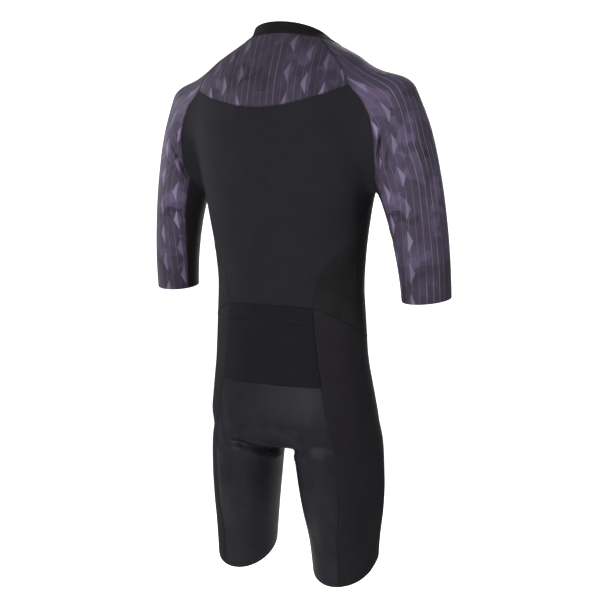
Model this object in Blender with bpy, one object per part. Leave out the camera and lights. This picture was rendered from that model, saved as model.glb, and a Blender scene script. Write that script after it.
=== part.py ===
"""Triathlon suit with short raglan sleeves and knee-length legs, filled out as on a wearer.

Metres, +Z up. The front faces -Y, the back +Y, the wearer's left is +X. The origin is the
centre of the neck base. Every cloth piece is a closed wall laid on one body form; pieces
stop just short of each other at the seams.
"""
import bmesh
import bpy
import numpy as np
from mathutils import Matrix

# ---------------------------------------------------------------- driving sizes
CLOTH = 0.0016        # wall of a cloth piece
SEAM = 0.0003         # space between two pieces along a seam
PAD = 0.0040          # thickness of the seat pad
WELD, WELD_PHASE = 1e-5, 0.87   # points in one cell of this grid are one point
ZIP_HALF = 0.0140     # half width of the closed zip with its tapes
TAPE = 0.0012         # wall of a zip tape
NECK_BASE = (-0.018, 0.20)      # collar seam: height on the axis, rise towards the back
COLLAR_TOP = (-0.0005, 0.27)    # free edge of the collar, same columns
CUFF = 0.885                    # cuff, as a share of the arm axis
RAGLAN_BACK_AT, RAGLAN_FRONT_AT = 68.0, 116.0   # where the sleeve meets the collar, degrees

# ---------------------------------------------------------------- zip slider and pull
SLIDER_AT = -0.030                    # height of the slider on the closed zip
ZIP_CHORD = (0.004, -0.034)           # the pull hangs along this stretch of the zip, from there
SLIDER = dict(width=0.0082, wall=0.0018, length=0.0115, off=0.0007)
BRIDGE = dict(width=0.0034, length=0.0058, height=0.0060, sunk=0.0005)   # height from the zip
EYE = dict(out=0.0043, size=0.0028)   # centre of the eye, from the zip
PULL = dict(width=0.0076, length=0.0300, wall=0.0013, bar=0.0013, side=0.0013, window=0.0066)
ROUND_STEP = 20                       # degrees between points of the pull's round end

# ---------------------------------------------------------------- body form
# trunk: height, half width, back, front, squareness
TRUNK = np.array([
    (0.080, 0.058, 0.040, -0.075, 2.0),
    (0.030, 0.059, 0.052, -0.071, 2.0),
    (0.000, 0.063, 0.062, -0.068, 2.0),
    (-0.020, 0.090, 0.073, -0.066, 2.0),
    (-0.045, 0.134, 0.083, -0.068, 2.0),
    (-0.085, 0.172, 0.099, -0.076, 2.1),
    (-0.140, 0.176, 0.109, -0.092, 2.3),
    (-0.210, 0.164, 0.111, -0.102, 2.3),
    (-0.290, 0.146, 0.105, -0.097, 2.3),
    (-0.370, 0.135, 0.092, -0.091, 2.3),
    (-0.420, 0.132, 0.087, -0.089, 2.3),
    (-0.480, 0.135, 0.087, -0.092, 2.3),
    (-0.540, 0.138, 0.089, -0.096, 2.3),
    (-0.600, 0.142, 0.089, -0.096, 2.3),
    (-0.660, 0.143, 0.086, -0.092, 2.3),
])
TRUNK_END, TRUNK_CAP = -0.640, 0.070
# thigh: height, centre x, centre y, half width, half depth
THIGH = np.array([
    (-0.560, 0.078, -0.008, 0.056, 0.082),
    (-0.640, 0.083, -0.010, 0.063, 0.087),
    (-0.700, 0.0895, -0.011, 0.066, 0.089),
    (-0.760, 0.0935, -0.012, 0.064, 0.085),
    (-0.810, 0.0955, -0.013, 0.061, 0.077),
    (-0.870, 0.0975, -0.016, 0.057, 0.064),
    (-0.960, 0.0995, -0.018, 0.052, 0.055),
])
THIGH_TOP, THIGH_CAP, THIGH_TURN = -0.71, 0.20, np.radians(20)
# arm: length along the axis, half width, half depth
ARM = np.array([
    (0.00, 0.059, 0.060),
    (0.06, 0.055, 0.065),
    (0.14, 0.047, 0.060),
    (0.22, 0.041, 0.053),
    (0.30, 0.038, 0.047),
    (0.38, 0.036, 0.044),
])
SHOULDER = np.array((0.170, 0.000, -0.120))
ARM_BEND = np.array((0.249, 0.000, -0.290))
ARM_END = np.array((0.244, -0.022, -0.480))
ARM_LENGTH, ARM_CAP, ARM_TURN = 0.375, 0.044, np.radians(-20)
BLEND_ARM, BLEND_THIGH, BLEND_CROTCH = 0.036, 0.034, 0.030

# ---------------------------------------------------------------- seams
# Every seam is a short run of points near the form: station, x, y, z. Stations count the
# rows of cloth from the collar (0) over the armpit (8) and the waist (13) to the hem (24).
RAGLAN_BACK = [
    (1.0, 0.100, 0.050, -0.038),
    (2.0, 0.127, 0.064, -0.066),
    (3.0, 0.141, 0.071, -0.092),
    (4.0, 0.164, 0.071, -0.120),
    (5.0, 0.178, 0.067, -0.158),
    (6.0, 0.181, 0.058, -0.200),
    (7.0, 0.180, 0.040, -0.236),
]
RAGLAN_FRONT = [
    (1.0, 0.094, -0.045, -0.040),
    (2.0, 0.120, -0.054, -0.066),
    (3.0, 0.142, -0.058, -0.092),
    (4.0, 0.163, -0.057, -0.120),
    (5.0, 0.176, -0.054, -0.158),
    (6.0, 0.181, -0.046, -0.200),
    (7.0, 0.181, -0.032, -0.236),
]
SIDE = [
    (9.0, 0.150, 0.012, -0.304),
    (10.0, 0.141, 0.022, -0.347),
    (11.5, 0.134, 0.012, -0.424),
    (13.0, 0.137, -0.007, -0.502),
]
MESH_EDGE = [
    (10.25, 0.138, 0.030, -0.348),
    (11.0, 0.112, 0.062, -0.371),
    (12.0, 0.088, 0.073, -0.405),
    (13.0, 0.079, 0.075, -0.450),
]
SIDE_BACK = [
    (13.0, 0.079, 0.075, -0.450),
    (14.0, 0.086, 0.074, -0.516),
    (15.0, 0.095, 0.072, -0.583),
    (16.0, 0.104, 0.072, -0.628),
    (17.0, 0.112, 0.065, -0.670),
    (18.0, 0.117, 0.059, -0.712),
    (20.0, 0.117, 0.053, -0.790),
    (22.0, 0.113, 0.044, -0.866),
    (24.0, 0.1125, 0.036, -0.938),
]
SIDE_FRONT = [
    (13.0, 0.104, -0.068, -0.514),
    (15.0, 0.114, -0.076, -0.592),
    (18.0, 0.130, -0.074, -0.700),
    (21.0, 0.136, -0.060, -0.806),
    (24.0, 0.1345, -0.044, -0.898),
]
INSEAM = [
    (18.5, 0.012, -0.012, -0.722),
    (19.0, 0.026, -0.013, -0.750),
    (21.0, 0.034, -0.015, -0.814),
    (24.0, 0.045, -0.018, -0.911),
]
# centre back and centre front: station, height of the ray's start, fall of the ray (degrees)
CENTRE_BACK = np.array([
    (0.0, -0.018, 0), (3.0, -0.126, 0), (8.0, -0.292, 0), (10.0, -0.356, 0),
    (13.0, -0.448, 0), (15.0, -0.582, 0), (16.0, -0.630, 4), (17.0, -0.630, 38), (18.0, -0.630, 90),
])
CENTRE_FRONT = np.array([
    (0.0, -0.018, 0), (3.0, -0.130, 0), (8.0, -0.300, 0), (10.0, -0.372, 0),
    (13.0, -0.530, 0), (15.0, -0.612, 0), (16.0, -0.630, 18), (17.0, -0.630, 52), (18.0, -0.630, 90),
])
CROTCH_Y, TRUNK_ONLY = -0.010, -0.5     # rays start at this y below this height
WRAP_FROM = np.radians(-35)     # a leg's front is counted on past 180 degrees, down to here
# sleeve rows above the armpit: station, centre x, centre y, centre z, rise of the crown (degrees)
SLEEVE_ROWS = np.array([
    (0.0, 0.000, 0.000, -0.018, 0),
    (1.0, 0.055, 0.000, -0.050, 30),
    (2.0, 0.088, 0.001, -0.076, 50),
    (3.0, 0.112, 0.002, -0.098, 54),
    (4.0, 0.136, 0.003, -0.118, 46),
    (5.0, 0.158, 0.004, -0.140, 36),
    (6.0, 0.178, 0.005, -0.166, 26),
    (7.0, 0.193, 0.005, -0.196, 18),
])
ARM_AT_ARMPIT = 0.215           # arm axis share level with station 7
GUSSET_DROP = 0.16              # the gusset starts this share of the way to the cuff lower
# gusset under the arm: share of the way to the cuff, back edge and front edge as angles
# from the outer side of the arm
GUSSET = np.array([(0.0, 118, -112), (0.35, 134, -132), (0.7, 146, -146), (1.0, 151, -151)])
GUSSET_FADE, SLEEVE_FADE, GUSSET_TOP_FADE = 0.3, 0.2, 0.25     # the armhole's shape is let go
ARMPIT_RAY = (0.163, 0.005, -0.210)     # the armpit lies straight below this point
RAGLAN_END = 7                  # station where the gusset parts from the sleeve
# rows of the legs: station, centre x, centre y, centre z, tilt of the row (degrees)
LEG_ROWS = np.array([
    (13.0, 0.000, 0.000, -0.500, 0),
    (15.0, 0.012, 0.000, -0.588, 0),
    (16.0, 0.030, -0.002, -0.628, 0),
    (17.0, 0.054, -0.005, -0.664, 0),
    (18.0, 0.076, -0.009, -0.702, 0),
    (19.0, 0.088, -0.011, -0.744, 0),
    (20.0, 0.092, -0.012, -0.784, 4),
    (24.0, 0.0965, -0.018, -0.911, 26.57),
])

RIM_ORDER = (0.61, 0.37, -1.0)  # a rim's quads are split by how their ends compare along this
BACK_BEND = 1.7                 # the back's rows stay level at the spine and rise at the sides
LEG_TOP_FADE = 4                # rows over which the leg's panels let go of the waist's spacing

# ---------------------------------------------------------------- rows and columns of cloth
YOKE_ROWS = [0, 1, 2, 3]
CHEST_ROWS = [3, 4, 4.5, 5, 5.5, 6, 7, 7.5, 8, 8.5, 9, 9.5, 10]
WAIST = 13                      # station of the pocket's top and of the front's lower edge
SIDE_TIP = 10                   # the mesh panel's tip meets the side seam here
MESH_ROWS = [10.25, 11, 11.5, 12, 12.5, 13]
HIP_ROWS = [13, 13.4, 13.8, 14.2, 14.6, 15]
SHORTS_ROWS = [15, 15.5, 16, 16.5, 17, 17.5, 18, 18.5, 19, 19.6, 20.2, 20.9, 21.6, 22.4, 23.2, 24]
ARM_ROWS, ARM_SPREAD = 10, 0.95
BACK_COLUMNS, SLEEVE_COLUMNS, GUSSET_COLUMNS, MESH_COLUMNS = 7, 12, 4, 4
HIP_COLUMNS, FRONT_COLUMNS = 3, 5
PAD_ROWS, PAD_COLUMNS = (16, 18.5), (4, 2)      # cells the seat pad covers, back and front


# ---------------------------------------------------------------- form
def table(rows, x):
    """Smooth monotone run through the rows of a table, every column after the first."""
    rows = np.asarray(rows, float)
    rows = rows[np.argsort(rows[:, 0])]
    xs, ys = rows[:, 0], rows[:, 1:]
    h = np.diff(xs)[:, None]
    s = np.diff(ys, axis=0) / h
    m = np.zeros_like(ys)
    w1, w2 = 2 * h[1:] + h[:-1], h[1:] + 2 * h[:-1]
    with np.errstate(divide="ignore", invalid="ignore"):
        m[1:-1] = np.where(s[:-1] * s[1:] > 0, (w1 + w2) / (w1 / s[:-1] + w2 / s[1:]), 0)
    m[0], m[-1] = s[0], s[-1]
    x = np.clip(np.asarray(x, float), xs[0], xs[-1])
    i = np.clip(np.searchsorted(xs, x) - 1, 0, len(xs) - 2)
    t, hh = ((x - xs[i]) / h[i, 0])[:, None], h[i]
    return ((2 * t**3 - 3 * t**2 + 1) * ys[i] + (t**3 - 2 * t**2 + t) * hh * m[i]
            + (-2 * t**3 + 3 * t**2) * ys[i + 1] + (t**3 - t**2) * hh * m[i + 1])


def radial(x, y, a, b, n=2.0):
    """Distance to a superellipse along the ray from its centre."""
    q = np.maximum((np.abs(x / a) ** n + np.abs(y / b) ** n) ** (1 / n), 1e-6)
    return np.hypot(x, y) * (1 - 1 / q) - np.where(q < 1e-5, np.minimum(a, b), 0)


def join(a, b, k):
    """Union of two fields with a soft fillet of size k."""
    h = np.maximum(k - np.abs(a - b), 0) / k
    return np.minimum(a, b) - h * h * k / 4


def trunk(p):
    a, back, front, n = table(TRUNK, p[:, 2]).T
    y, half = p[:, 1] - (back + front) / 2, (back - front) / 2
    low = np.maximum(TRUNK_END - p[:, 2], 0) / TRUNK_CAP
    s = np.sqrt(np.maximum(1 - np.minimum(low, 1) ** 2, 1e-4))
    d = radial(p[:, 0], y, a * s, half * s, n)
    return np.where(low > 0, np.maximum(d, (low - 1) * TRUNK_CAP), d)


def thigh(p):
    cx, cy, a, b = table(THIGH, p[:, 2]).T
    x, y = p[:, 0] - cx, p[:, 1] - cy
    c, w = np.cos(THIGH_TURN), np.sin(THIGH_TURN)
    x, y = x * c + y * w, y * c - x * w
    high = np.maximum(p[:, 2] - THIGH_TOP, 0) / THIGH_CAP
    s = np.sqrt(np.maximum(1 - np.minimum(high, 1) ** 2, 1e-4))
    return np.maximum(radial(x, y, a * s, b * s), (high - 1) * THIGH_CAP)


def unit(v):
    return v / np.linalg.norm(v, axis=-1, keepdims=True)


def arm_frame(t):
    """Point of the arm axis at share t, with the directions along, inwards and back."""
    t = np.asarray(t, float)[..., None]
    p = (1 - t) ** 2 * SHOULDER + 2 * t * (1 - t) * ARM_BEND + t**2 * ARM_END
    along = unit(2 * (1 - t) * (ARM_BEND - SHOULDER) + 2 * t * (ARM_END - ARM_BEND))
    inwards = unit(np.cross((0, 1, 0), along))
    return p, along, inwards, np.cross(along, inwards)


def arm(p):
    t = np.clip((SHOULDER[2] - p[:, 2]) / (SHOULDER[2] - ARM_END[2]), 0, 1.2)
    for _ in range(4):
        c, along, inwards, back = arm_frame(t)
        t = np.clip(t + ((p - c) * along).sum(1) / ARM_LENGTH, 0, 1.2)
    c, along, inwards, back = arm_frame(t)
    k, w = np.cos(ARM_TURN), np.sin(ARM_TURN)
    q = p - c
    a, b = table(ARM, t * ARM_LENGTH).T
    u, v = (q * (inwards * k + back * w)).sum(1), (q * (back * k - inwards * w)).sum(1)
    e = np.sqrt((u / a) ** 2 + (v / b) ** 2 + ((q * along).sum(1) / ARM_CAP) ** 2)
    cap = np.linalg.norm(q, axis=1) * (1 - 1 / np.maximum(e, 1e-6))
    return np.where(t > 0, radial(u, v, a, b), cap)


def field(p):
    """Signed distance, roughly, to the body form: negative inside."""
    p = p * (1, 1, 1)
    p[:, 0] = np.abs(p[:, 0])
    q = p * (-1, 1, 1)
    legs = join(thigh(p), thigh(q), BLEND_CROTCH)
    return join(join(trunk(p), legs, BLEND_THIGH), arm(p), BLEND_ARM)


def gradient(p, e=5e-4):
    g = [field(p + d) - field(p - d) for d in np.eye(3) * e]
    return np.stack(g, 1) / (2 * e)


def cast(start, way, reach=0.36, step=0.006):
    """First point where the ray from inside leaves the form."""
    shape = np.broadcast(start, way).shape
    o = np.broadcast_to(start, shape).reshape(-1, 3) * 1.0
    d = unit(np.broadcast_to(way, shape).reshape(-1, 3) * 1.0)
    far = np.full(len(o), reach)
    left = np.arange(len(o))
    for r in np.arange(step, reach, step):
        out = field(o[left] + d[left] * r) > 0
        far[left[out]] = r
        left = left[~out]
        if not len(left):
            break
    near = far - step
    for _ in range(18):
        mid = (near + far) / 2
        out = field(o + d * mid[:, None]) > 0
        far, near = np.where(out, mid, far), np.where(out, near, mid)
    return (o + d * ((near + far) / 2)[:, None]).reshape(shape)


def on_form(p):
    """Nearest point of the form, for points that lie close to it."""
    p = np.array(p, float)
    for _ in range(10):
        g = gradient(p)
        p -= (field(p) / (g * g).sum(1))[:, None] * g
    return p


# ---------------------------------------------------------------- seam curves
def ring(degrees, height, rise):
    """Point of a tilted ring round the neck; 0 degrees is the centre back, 90 the left side."""
    a = np.radians(np.atleast_1d(degrees))
    return cast((0, 0, height), np.stack([np.sin(a), np.cos(a), rise * np.cos(a)], 1))


def seam(rows, v):
    return on_form(table(rows, v))


def raglan(front, v):
    start, rows = ((RAGLAN_BACK_AT, RAGLAN_BACK), (RAGLAN_FRONT_AT, RAGLAN_FRONT))[front]
    return seam([(0, *ring(start, *NECK_BASE)[0]), *rows, (8, *ARMPIT)], v)


def side_seam(v):
    return seam([(8, *ARMPIT), *SIDE], v)


def mesh_side(v):
    """Stations of the side seam level with the mesh panel's rows."""
    tip, waist = MESH_ROWS[0], MESH_ROWS[-1]
    return SIDE_TIP + (waist - SIDE_TIP) * (np.asarray(v, float) - tip) / (waist - tip)


def back_edge(v):
    """Outer edge of the back: raglan, side seam, mesh panel, then the side back seam."""
    v = np.asarray(v, float)[:, None]
    f = v[:, 0]
    return np.where(v <= 8, raglan(0, f), np.where(v <= SIDE_TIP, side_seam(f), np.where(
        v <= 13, seam(MESH_EDGE, f), seam(SIDE_BACK, f))))


def front_edge(v):
    """Outer edge of the front: raglan, then the side seam down to the waist."""
    v = np.asarray(v, float)
    return np.where(v[:, None] <= 8, raglan(1, v), side_seam(v))


def centre(rows, way, v):
    """Centre back (way 1) or centre front (way -1), under the crotch at station 18."""
    v = np.asarray(v, float)
    high, fall = table(rows, v).T
    fall = np.radians(fall)
    rise = NECK_BASE[1] * np.clip(1 - v, 0, 1) * way
    start = np.stack([0 * v, np.where(high < TRUNK_ONLY, CROTCH_Y, 0), high], 1)
    return cast(start, np.stack([0 * v, way * np.cos(fall), rise - np.sin(fall)], 1))


def leg_inner(rows, way, v):
    """Centre seam to the crotch, then the inseam to the hem."""
    v = np.asarray(v, float)
    low = [(18, *centre(rows, way, [18])[0]), *INSEAM]
    return np.where(v[:, None] <= 18, centre(rows, way, np.minimum(v, 18)), seam(low, v))


# ---------------------------------------------------------------- sheets of cloth
def sheet(start, frame, edge_a, edge_b, shares, top=None, fade=1, bend=1.0, wrap=False):
    """Grid of points on the form. Each row is cast from its own start, in directions that
    turn evenly from edge a to edge b; `frame` holds the directions of angle 0, angle 90 and
    the row's axis; `top` is a given first row, let go over the next `fade` rows."""
    e, f, n = frame
    shares = np.asarray(shares, float)

    def polar(p, i):
        q = p - start[i][..., None, :]
        x, y, z = [(q * k[i][..., None, :]).sum(-1) for k in (e, f, n)]
        a = np.arctan2(y, x)
        return np.where(a < WRAP_FROM, a + 2 * np.pi, a) if wrap else a, z / np.hypot(x, y)

    every = slice(None)
    turn, lift = polar(np.stack([edge_a, edge_b], 1), every)
    turn = turn[:, :1] + (turn[:, 1:] - turn[:, :1]) * shares
    if bend == "crown":
        s = 2 * shares - 1
        lift = lift[:, :1] * np.clip(-s, 0, 1) ** 2 + lift[:, 1:] * np.clip(s, 0, 1) ** 2
    else:
        lift = lift[:, :1] + (lift[:, 1:] - lift[:, :1]) * shares**bend
    if top is not None:
        t, l = polar(top, 0)
        w = np.clip(1 - np.arange(len(turn)) / fade, 0, 1)[:, None]
        turn, lift = turn + w * (t - turn[0]), lift + w * (l - lift[0])
    turn, lift = turn[..., None], lift[..., None]
    way = e[:, None] * np.cos(turn) + f[:, None] * np.sin(turn) + n[:, None] * lift
    grid = cast(start[:, None], way)
    grid[:, 0], grid[:, -1] = edge_a, edge_b
    if top is not None:
        grid[0] = top
    return grid


def rows_frame(tilt):
    """Directions back, left and down of a row tilted about the X axis."""
    t = np.asarray(tilt, float)
    o = 0 * t
    return (np.stack([o, np.cos(t), np.sin(t)], 1), np.stack([o + 1, o, o], 1),
            np.stack([o, np.sin(t), -np.cos(t)], 1))


def neck_tilt(v):
    return np.arctan(NECK_BASE[1] * np.clip(1 - np.asarray(v, float), 0, 1))


def row_start(middle, v, way):
    """Start of each row's rays on the body's axis, level with the row's middle point."""
    start = middle * (0, 0, 1)
    start[:, 2] -= way * np.tan(neck_tilt(v)) * np.abs(middle[:, 1])
    return start


def back_grid(v, shares):
    a = centre(CENTRE_BACK, 1, v)
    start = row_start(a, v, 1)
    return sheet(start, rows_frame(neck_tilt(v)), a, back_edge(v), shares, bend=BACK_BEND)


def front_grid(v, shares):
    a = centre(CENTRE_FRONT, -1, v)
    start = row_start(a, v, -1)
    rise = np.tan(neck_tilt(v))
    a = cast(start + (ZIP_HALF, 0, 0), np.stack([0 * rise, 0 * rise - 1, -rise], 1))
    return sheet(start, rows_frame(neck_tilt(v)), a, front_edge(v), shares)


def arm_rows(w, drop=0.0):
    """Arm axis at share w of the way from the armpit to the cuff."""
    return arm_frame(ARM_AT_ARMPIT + (CUFF - ARM_AT_ARMPIT) * (drop + (1 - drop) * w))


def gusset_edges(w):
    """Back and front edge of the gusset at share w of the way from armpit to cuff."""
    c, along, inwards, back = arm_rows(w, GUSSET_DROP)
    edges = []
    for front, deg in enumerate(table(GUSSET, w).T):
        a = np.radians(deg)[:, None]
        p = cast(c, -inwards * np.cos(a) + back * np.sin(a))
        k = np.clip(1 - w / GUSSET_FADE, 0, 1)[:, None]
        edges.append(on_form(p + k * (raglan(front, [RAGLAN_END]) - p[:1])))
    return edges


def sleeve_grid(v, w, shares):
    """Upper sleeve: rows v from the collar to the armpit, then rows w down to the cuff."""
    v = np.asarray(v, float)
    x, y, z, rise = table(SLEEVE_ROWS, v).T
    rise = np.radians(rise)
    t = neck_tilt(v)
    e = np.stack([np.cos(rise), 0 * rise, np.sin(rise)], 1)
    f = np.stack([0 * t, np.cos(t), np.sin(t)], 1)
    c, along, inwards, back = arm_rows(w)
    k = np.clip(1 - w / SLEEVE_FADE, 0, 1)[:, None]
    c = c + k * (np.stack([x, y, z], 1)[-1] - c)
    ee = unit(-inwards + k * (e[-1] + inwards))
    start = np.vstack([np.stack([x, y, z], 1), c[1:]])
    e, f = np.vstack([e, ee[1:]]), np.vstack([f, unit(np.cross(np.cross(ee, back), ee))[1:]])
    low = gusset_edges(w)
    a = np.vstack([raglan(0, v), low[0][1:]])
    b = np.vstack([raglan(1, v), low[1][1:]])
    return sheet(start, (e, f, np.cross(e, f)), a, b, shares, bend="crown")


def gusset_grid(w, shares):
    c, along, inwards, back = arm_rows(w, GUSSET_DROP)
    shares = np.asarray(shares)
    v = RAGLAN_END + 2 * shares[shares < 0.5]
    top = np.vstack([raglan(0, v), [ARMPIT], raglan(1, v)[::-1]])
    a, b = gusset_edges(w)
    return sheet(c, (inwards, -back, along), a, b, shares, top=top, fade=len(w) * GUSSET_TOP_FADE)


def leg_frame(v):
    x, y, z, tilt = table(LEG_ROWS, v).T
    return np.stack([x, y, z], 1), rows_frame(-np.radians(tilt))


def leg_back_grid(v, shares):
    start, frame = leg_frame(v)
    return sheet(start, frame, leg_inner(CENTRE_BACK, 1, v), seam(SIDE_BACK, v), shares)


def leg_side_grid(v, shares, top):
    start, frame = leg_frame(v)
    return sheet(start, frame, seam(SIDE_BACK, v), seam_from(top[-1], SIDE_FRONT, v), shares, top,
                 LEG_TOP_FADE)


def leg_front_grid(v, shares, top):
    start, frame = leg_frame(v)
    return sheet(start, frame, seam_from(top[0], SIDE_FRONT, v), leg_inner(CENTRE_FRONT, -1, v),
                 shares, top, LEG_TOP_FADE, wrap=True)


def seam_from(first, rows, v):
    return seam([(rows[0][0], *first), *rows[1:]], v)


def mesh_grid(v, shares):
    """Side mesh panel between the back's edge and the side seam."""
    v = np.asarray(v, float)
    a = back_edge(v)
    b = side_seam(mesh_side(v))
    start = np.stack([0 * v, 0 * v, (a[:, 2] + b[:, 2]) / 2], 1)
    return sheet(start, rows_frame(0 * v), a, b, shares)


ARMPIT = cast(ARMPIT_RAY, (0, 0, -1))


# ---------------------------------------------------------------- closed walls
class Piece:
    """Quads laid on the form, welded where their points agree."""

    def __init__(self, grids):
        self.points, self.quads, index = [], [], {}
        for grid, flip in grids:
            rows, cols = grid.shape[:2]
            ids = np.empty((rows, cols), int)
            for i in range(rows):
                for j in range(cols):
                    key = tuple(np.floor(grid[i, j] / WELD + WELD_PHASE).astype(int))
                    if key not in index:
                        index[key] = len(self.points)
                        self.points.append(grid[i, j])
                    ids[i, j] = index[key]
            for i in range(rows - 1):
                for j in range(cols - 1):
                    q = [ids[i, j], ids[i, j + 1], ids[i + 1, j + 1], ids[i + 1, j]]
                    self.quads.append(q if flip else q[::-1])
        self.points = np.array(self.points)
        self.normals = unit(gradient(self.points))
        a, b, c, d = [self.points[k] for k in np.array(self.quads).T]
        if (np.cross(c - a, d - b) * self.normals[[q[0] for q in self.quads]]).sum() < 0:
            self.quads = [q[::-1] for q in self.quads]

    def border(self):
        """Border edges, walked with the cloth on the left."""
        edges = {(q[k], q[(k + 1) % 4]) for q in self.quads for k in range(4)}
        return sorted(e for e in edges if e[::-1] not in edges)

    def drawn_back(self, gap):
        """Points with every border edge moved `gap` into the cloth."""
        p, n = self.points, self.normals
        push = {}
        for a, b in self.border():
            m = unit(np.cross(n[a] + n[b], p[b] - p[a]))
            for k in (a, b):
                push.setdefault(k, []).append(m)
        out = p.copy()
        for k, (m, *rest) in push.items():
            w = rest[0] if rest else m
            out[k] += gap * (m + w) / max(1 + m @ w, 0.4)
        return out


def solid(name, material, grids, lift=0.0, wall=CLOTH, gap=SEAM / 2):
    """Closed wall: outer face `lift` off the form, `wall` thick, short of its seams by `gap`."""
    piece = Piece(grids)
    p = piece.drawn_back(gap)
    n = unit(gradient(p))
    count = len(p)
    points = np.vstack([p + n * lift, p + n * (lift - wall)])
    faces = []
    for q in piece.quads:            # split along the shorter diagonal
        d = [np.linalg.norm(piece.points[q[k]] - piece.points[q[k + 2]]) for k in (0, 1)]
        q = q[1:] + q[:1] if d[1] < d[0] - 1e-6 else q
        for a, b, c in ((q[0], q[1], q[2]), (q[0], q[2], q[3])):
            faces += [(a, b, c), (c + count, b + count, a + count)]
    high = np.abs(p) @ RIM_ORDER
    for a, b in piece.border():      # both sides of a seam split their rims alike
        c, d = a + count, b + count
        faces += [(b, a, d), (a, c, d)] if high[a] > high[b] else [(b, a, c), (b, c, d)]
    return add(name, material, points, faces)


def add(name, material, points, faces):
    p, f = np.asarray(points), np.array(faces)
    a, b, c = p[f[:, 0]], p[f[:, 1]], p[f[:, 2]]
    if (a * np.cross(b, c)).sum() < 0:
        faces = [q[::-1] for q in faces]
    mesh = bpy.data.meshes.new(name)
    mesh.from_pydata([tuple(p) for p in points], [], [tuple(int(i) for i in f) for f in faces])
    mesh.materials.append(MATERIALS[material])
    mesh.validate()
    mesh.update()
    obj = bpy.data.objects.new(name, mesh)
    SUIT.objects.link(obj)
    return obj


def mirrored(grid):
    return grid * (-1, 1, 1)


def pair(name, material, grid, **more):
    """The same piece for the left and the right of the wearer."""
    solid(name + "_left", material, [(grid, False)], **more)
    solid(name + "_right", material, [(mirrored(grid), True)], **more)


def whole(name, material, grids, **more):
    """One piece that runs across the middle."""
    both = [(g, False) for g in grids] + [(mirrored(g), True) for g in grids]
    solid(name, material, both, **more)


# ---------------------------------------------------------------- zip slider and pull
def zip_frame(out=0.0):
    """World matrix on the zip at the slider: x across, y up the zip, z outwards."""
    high, low = [cast((0, 0, SLIDER_AT + z), (0, -1, 0)) for z in ZIP_CHORD]
    x, y = np.array((1.0, 0, 0)), unit(high - low)
    z = np.cross(x, y)
    at = cast((0, 0, SLIDER_AT), (0, -1, 0)) + z * out
    return Matrix(np.vstack([np.column_stack([x, y, z, at]), (0, 0, 0, 1)]))


def box(name, size, centre, material=None):
    """Box in the slider's frame; without a material it only shapes another object."""
    mesh = bpy.data.meshes.new(name)
    bm = bmesh.new()
    bmesh.ops.create_cube(bm, size=1, matrix=Matrix.Translation(centre) @ Matrix.Diagonal((*size, 1)))
    bm.to_mesh(mesh)
    bm.free()
    obj = bpy.data.objects.new(name, mesh)
    obj.matrix_world = zip_frame()
    if material:
        mesh.materials.append(MATERIALS[material])
        SUIT.objects.link(obj)
    else:
        obj.hide_render, obj.display_type = True, "WIRE"
        SHAPERS.objects.link(obj)
    return obj


def slider():
    """Slider body, with a bridge over an eye that runs across."""
    top = SLIDER["off"] + SLIDER["wall"]
    body = box("zip_slider", (SLIDER["width"], SLIDER["length"], SLIDER["wall"]),
               (0, 0, (top + SLIDER["off"]) / 2), "slider")
    rise = BRIDGE["height"] - top + BRIDGE["sunk"]
    bridge = box("bridge", (BRIDGE["width"], BRIDGE["length"], rise),
                 (0, 0, BRIDGE["height"] - rise / 2))
    eye = box("eye", (2 * BRIDGE["width"], EYE["size"], EYE["size"]), (0, 0, EYE["out"]))
    for shape, how in ((bridge, "UNION"), (eye, "DIFFERENCE")):
        cut = body.modifiers.new(shape.name, "BOOLEAN")
        cut.object, cut.operation = shape, how


def pull():
    """Pull tab: a flat plate whose top bar runs through the eye; it turns about that bar."""
    w, bar, foot = PULL["width"] / 2, PULL["bar"] / 2, -PULL["bar"] / 2 - PULL["window"]
    end = bar - PULL["length"]
    arc = np.radians(np.arange(180, 361, ROUND_STEP))
    outer = [(-w, bar)] + [(w * np.cos(a), end + w + w * np.sin(a)) for a in arc] + [(w, bar)]
    inner = [(x, y) for x, y in ((-1, -bar), (1, -bar), (1, foot), (-1, foot))]
    inner = [(x * (w - PULL["side"]), y) for x, y in inner]
    curve = bpy.data.curves.new("zip_pull", "CURVE")
    curve.dimensions, curve.fill_mode, curve.extrude = "2D", "BOTH", PULL["wall"] / 2
    for outline in (outer, inner):
        spline = curve.splines.new("POLY")
        spline.points.add(len(outline) - 1)
        for point, (x, y) in zip(spline.points, outline):
            point.co = (x, y, 0, 1)
        spline.use_cyclic_u = True
    curve.materials.append(MATERIALS["slider"])
    obj = bpy.data.objects.new("zip_pull", curve)
    obj.matrix_world = zip_frame(EYE["out"])
    SUIT.objects.link(obj)


# ---------------------------------------------------------------- the suit
def clear():
    for obj in list(bpy.data.objects):
        bpy.data.objects.remove(obj, do_unlink=True)


def make_material(name, colour, rough, metal=0.0):
    mat = bpy.data.materials.new(name)
    mat.use_nodes = True
    node = mat.node_tree.nodes["Principled BSDF"]
    node.inputs["Base Color"].default_value = (*colour, 1)
    node.inputs["Roughness"].default_value = rough
    node.inputs["Metallic"].default_value = metal
    return mat


def even(n):
    return np.linspace(0, 1, n + 1)


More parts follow.
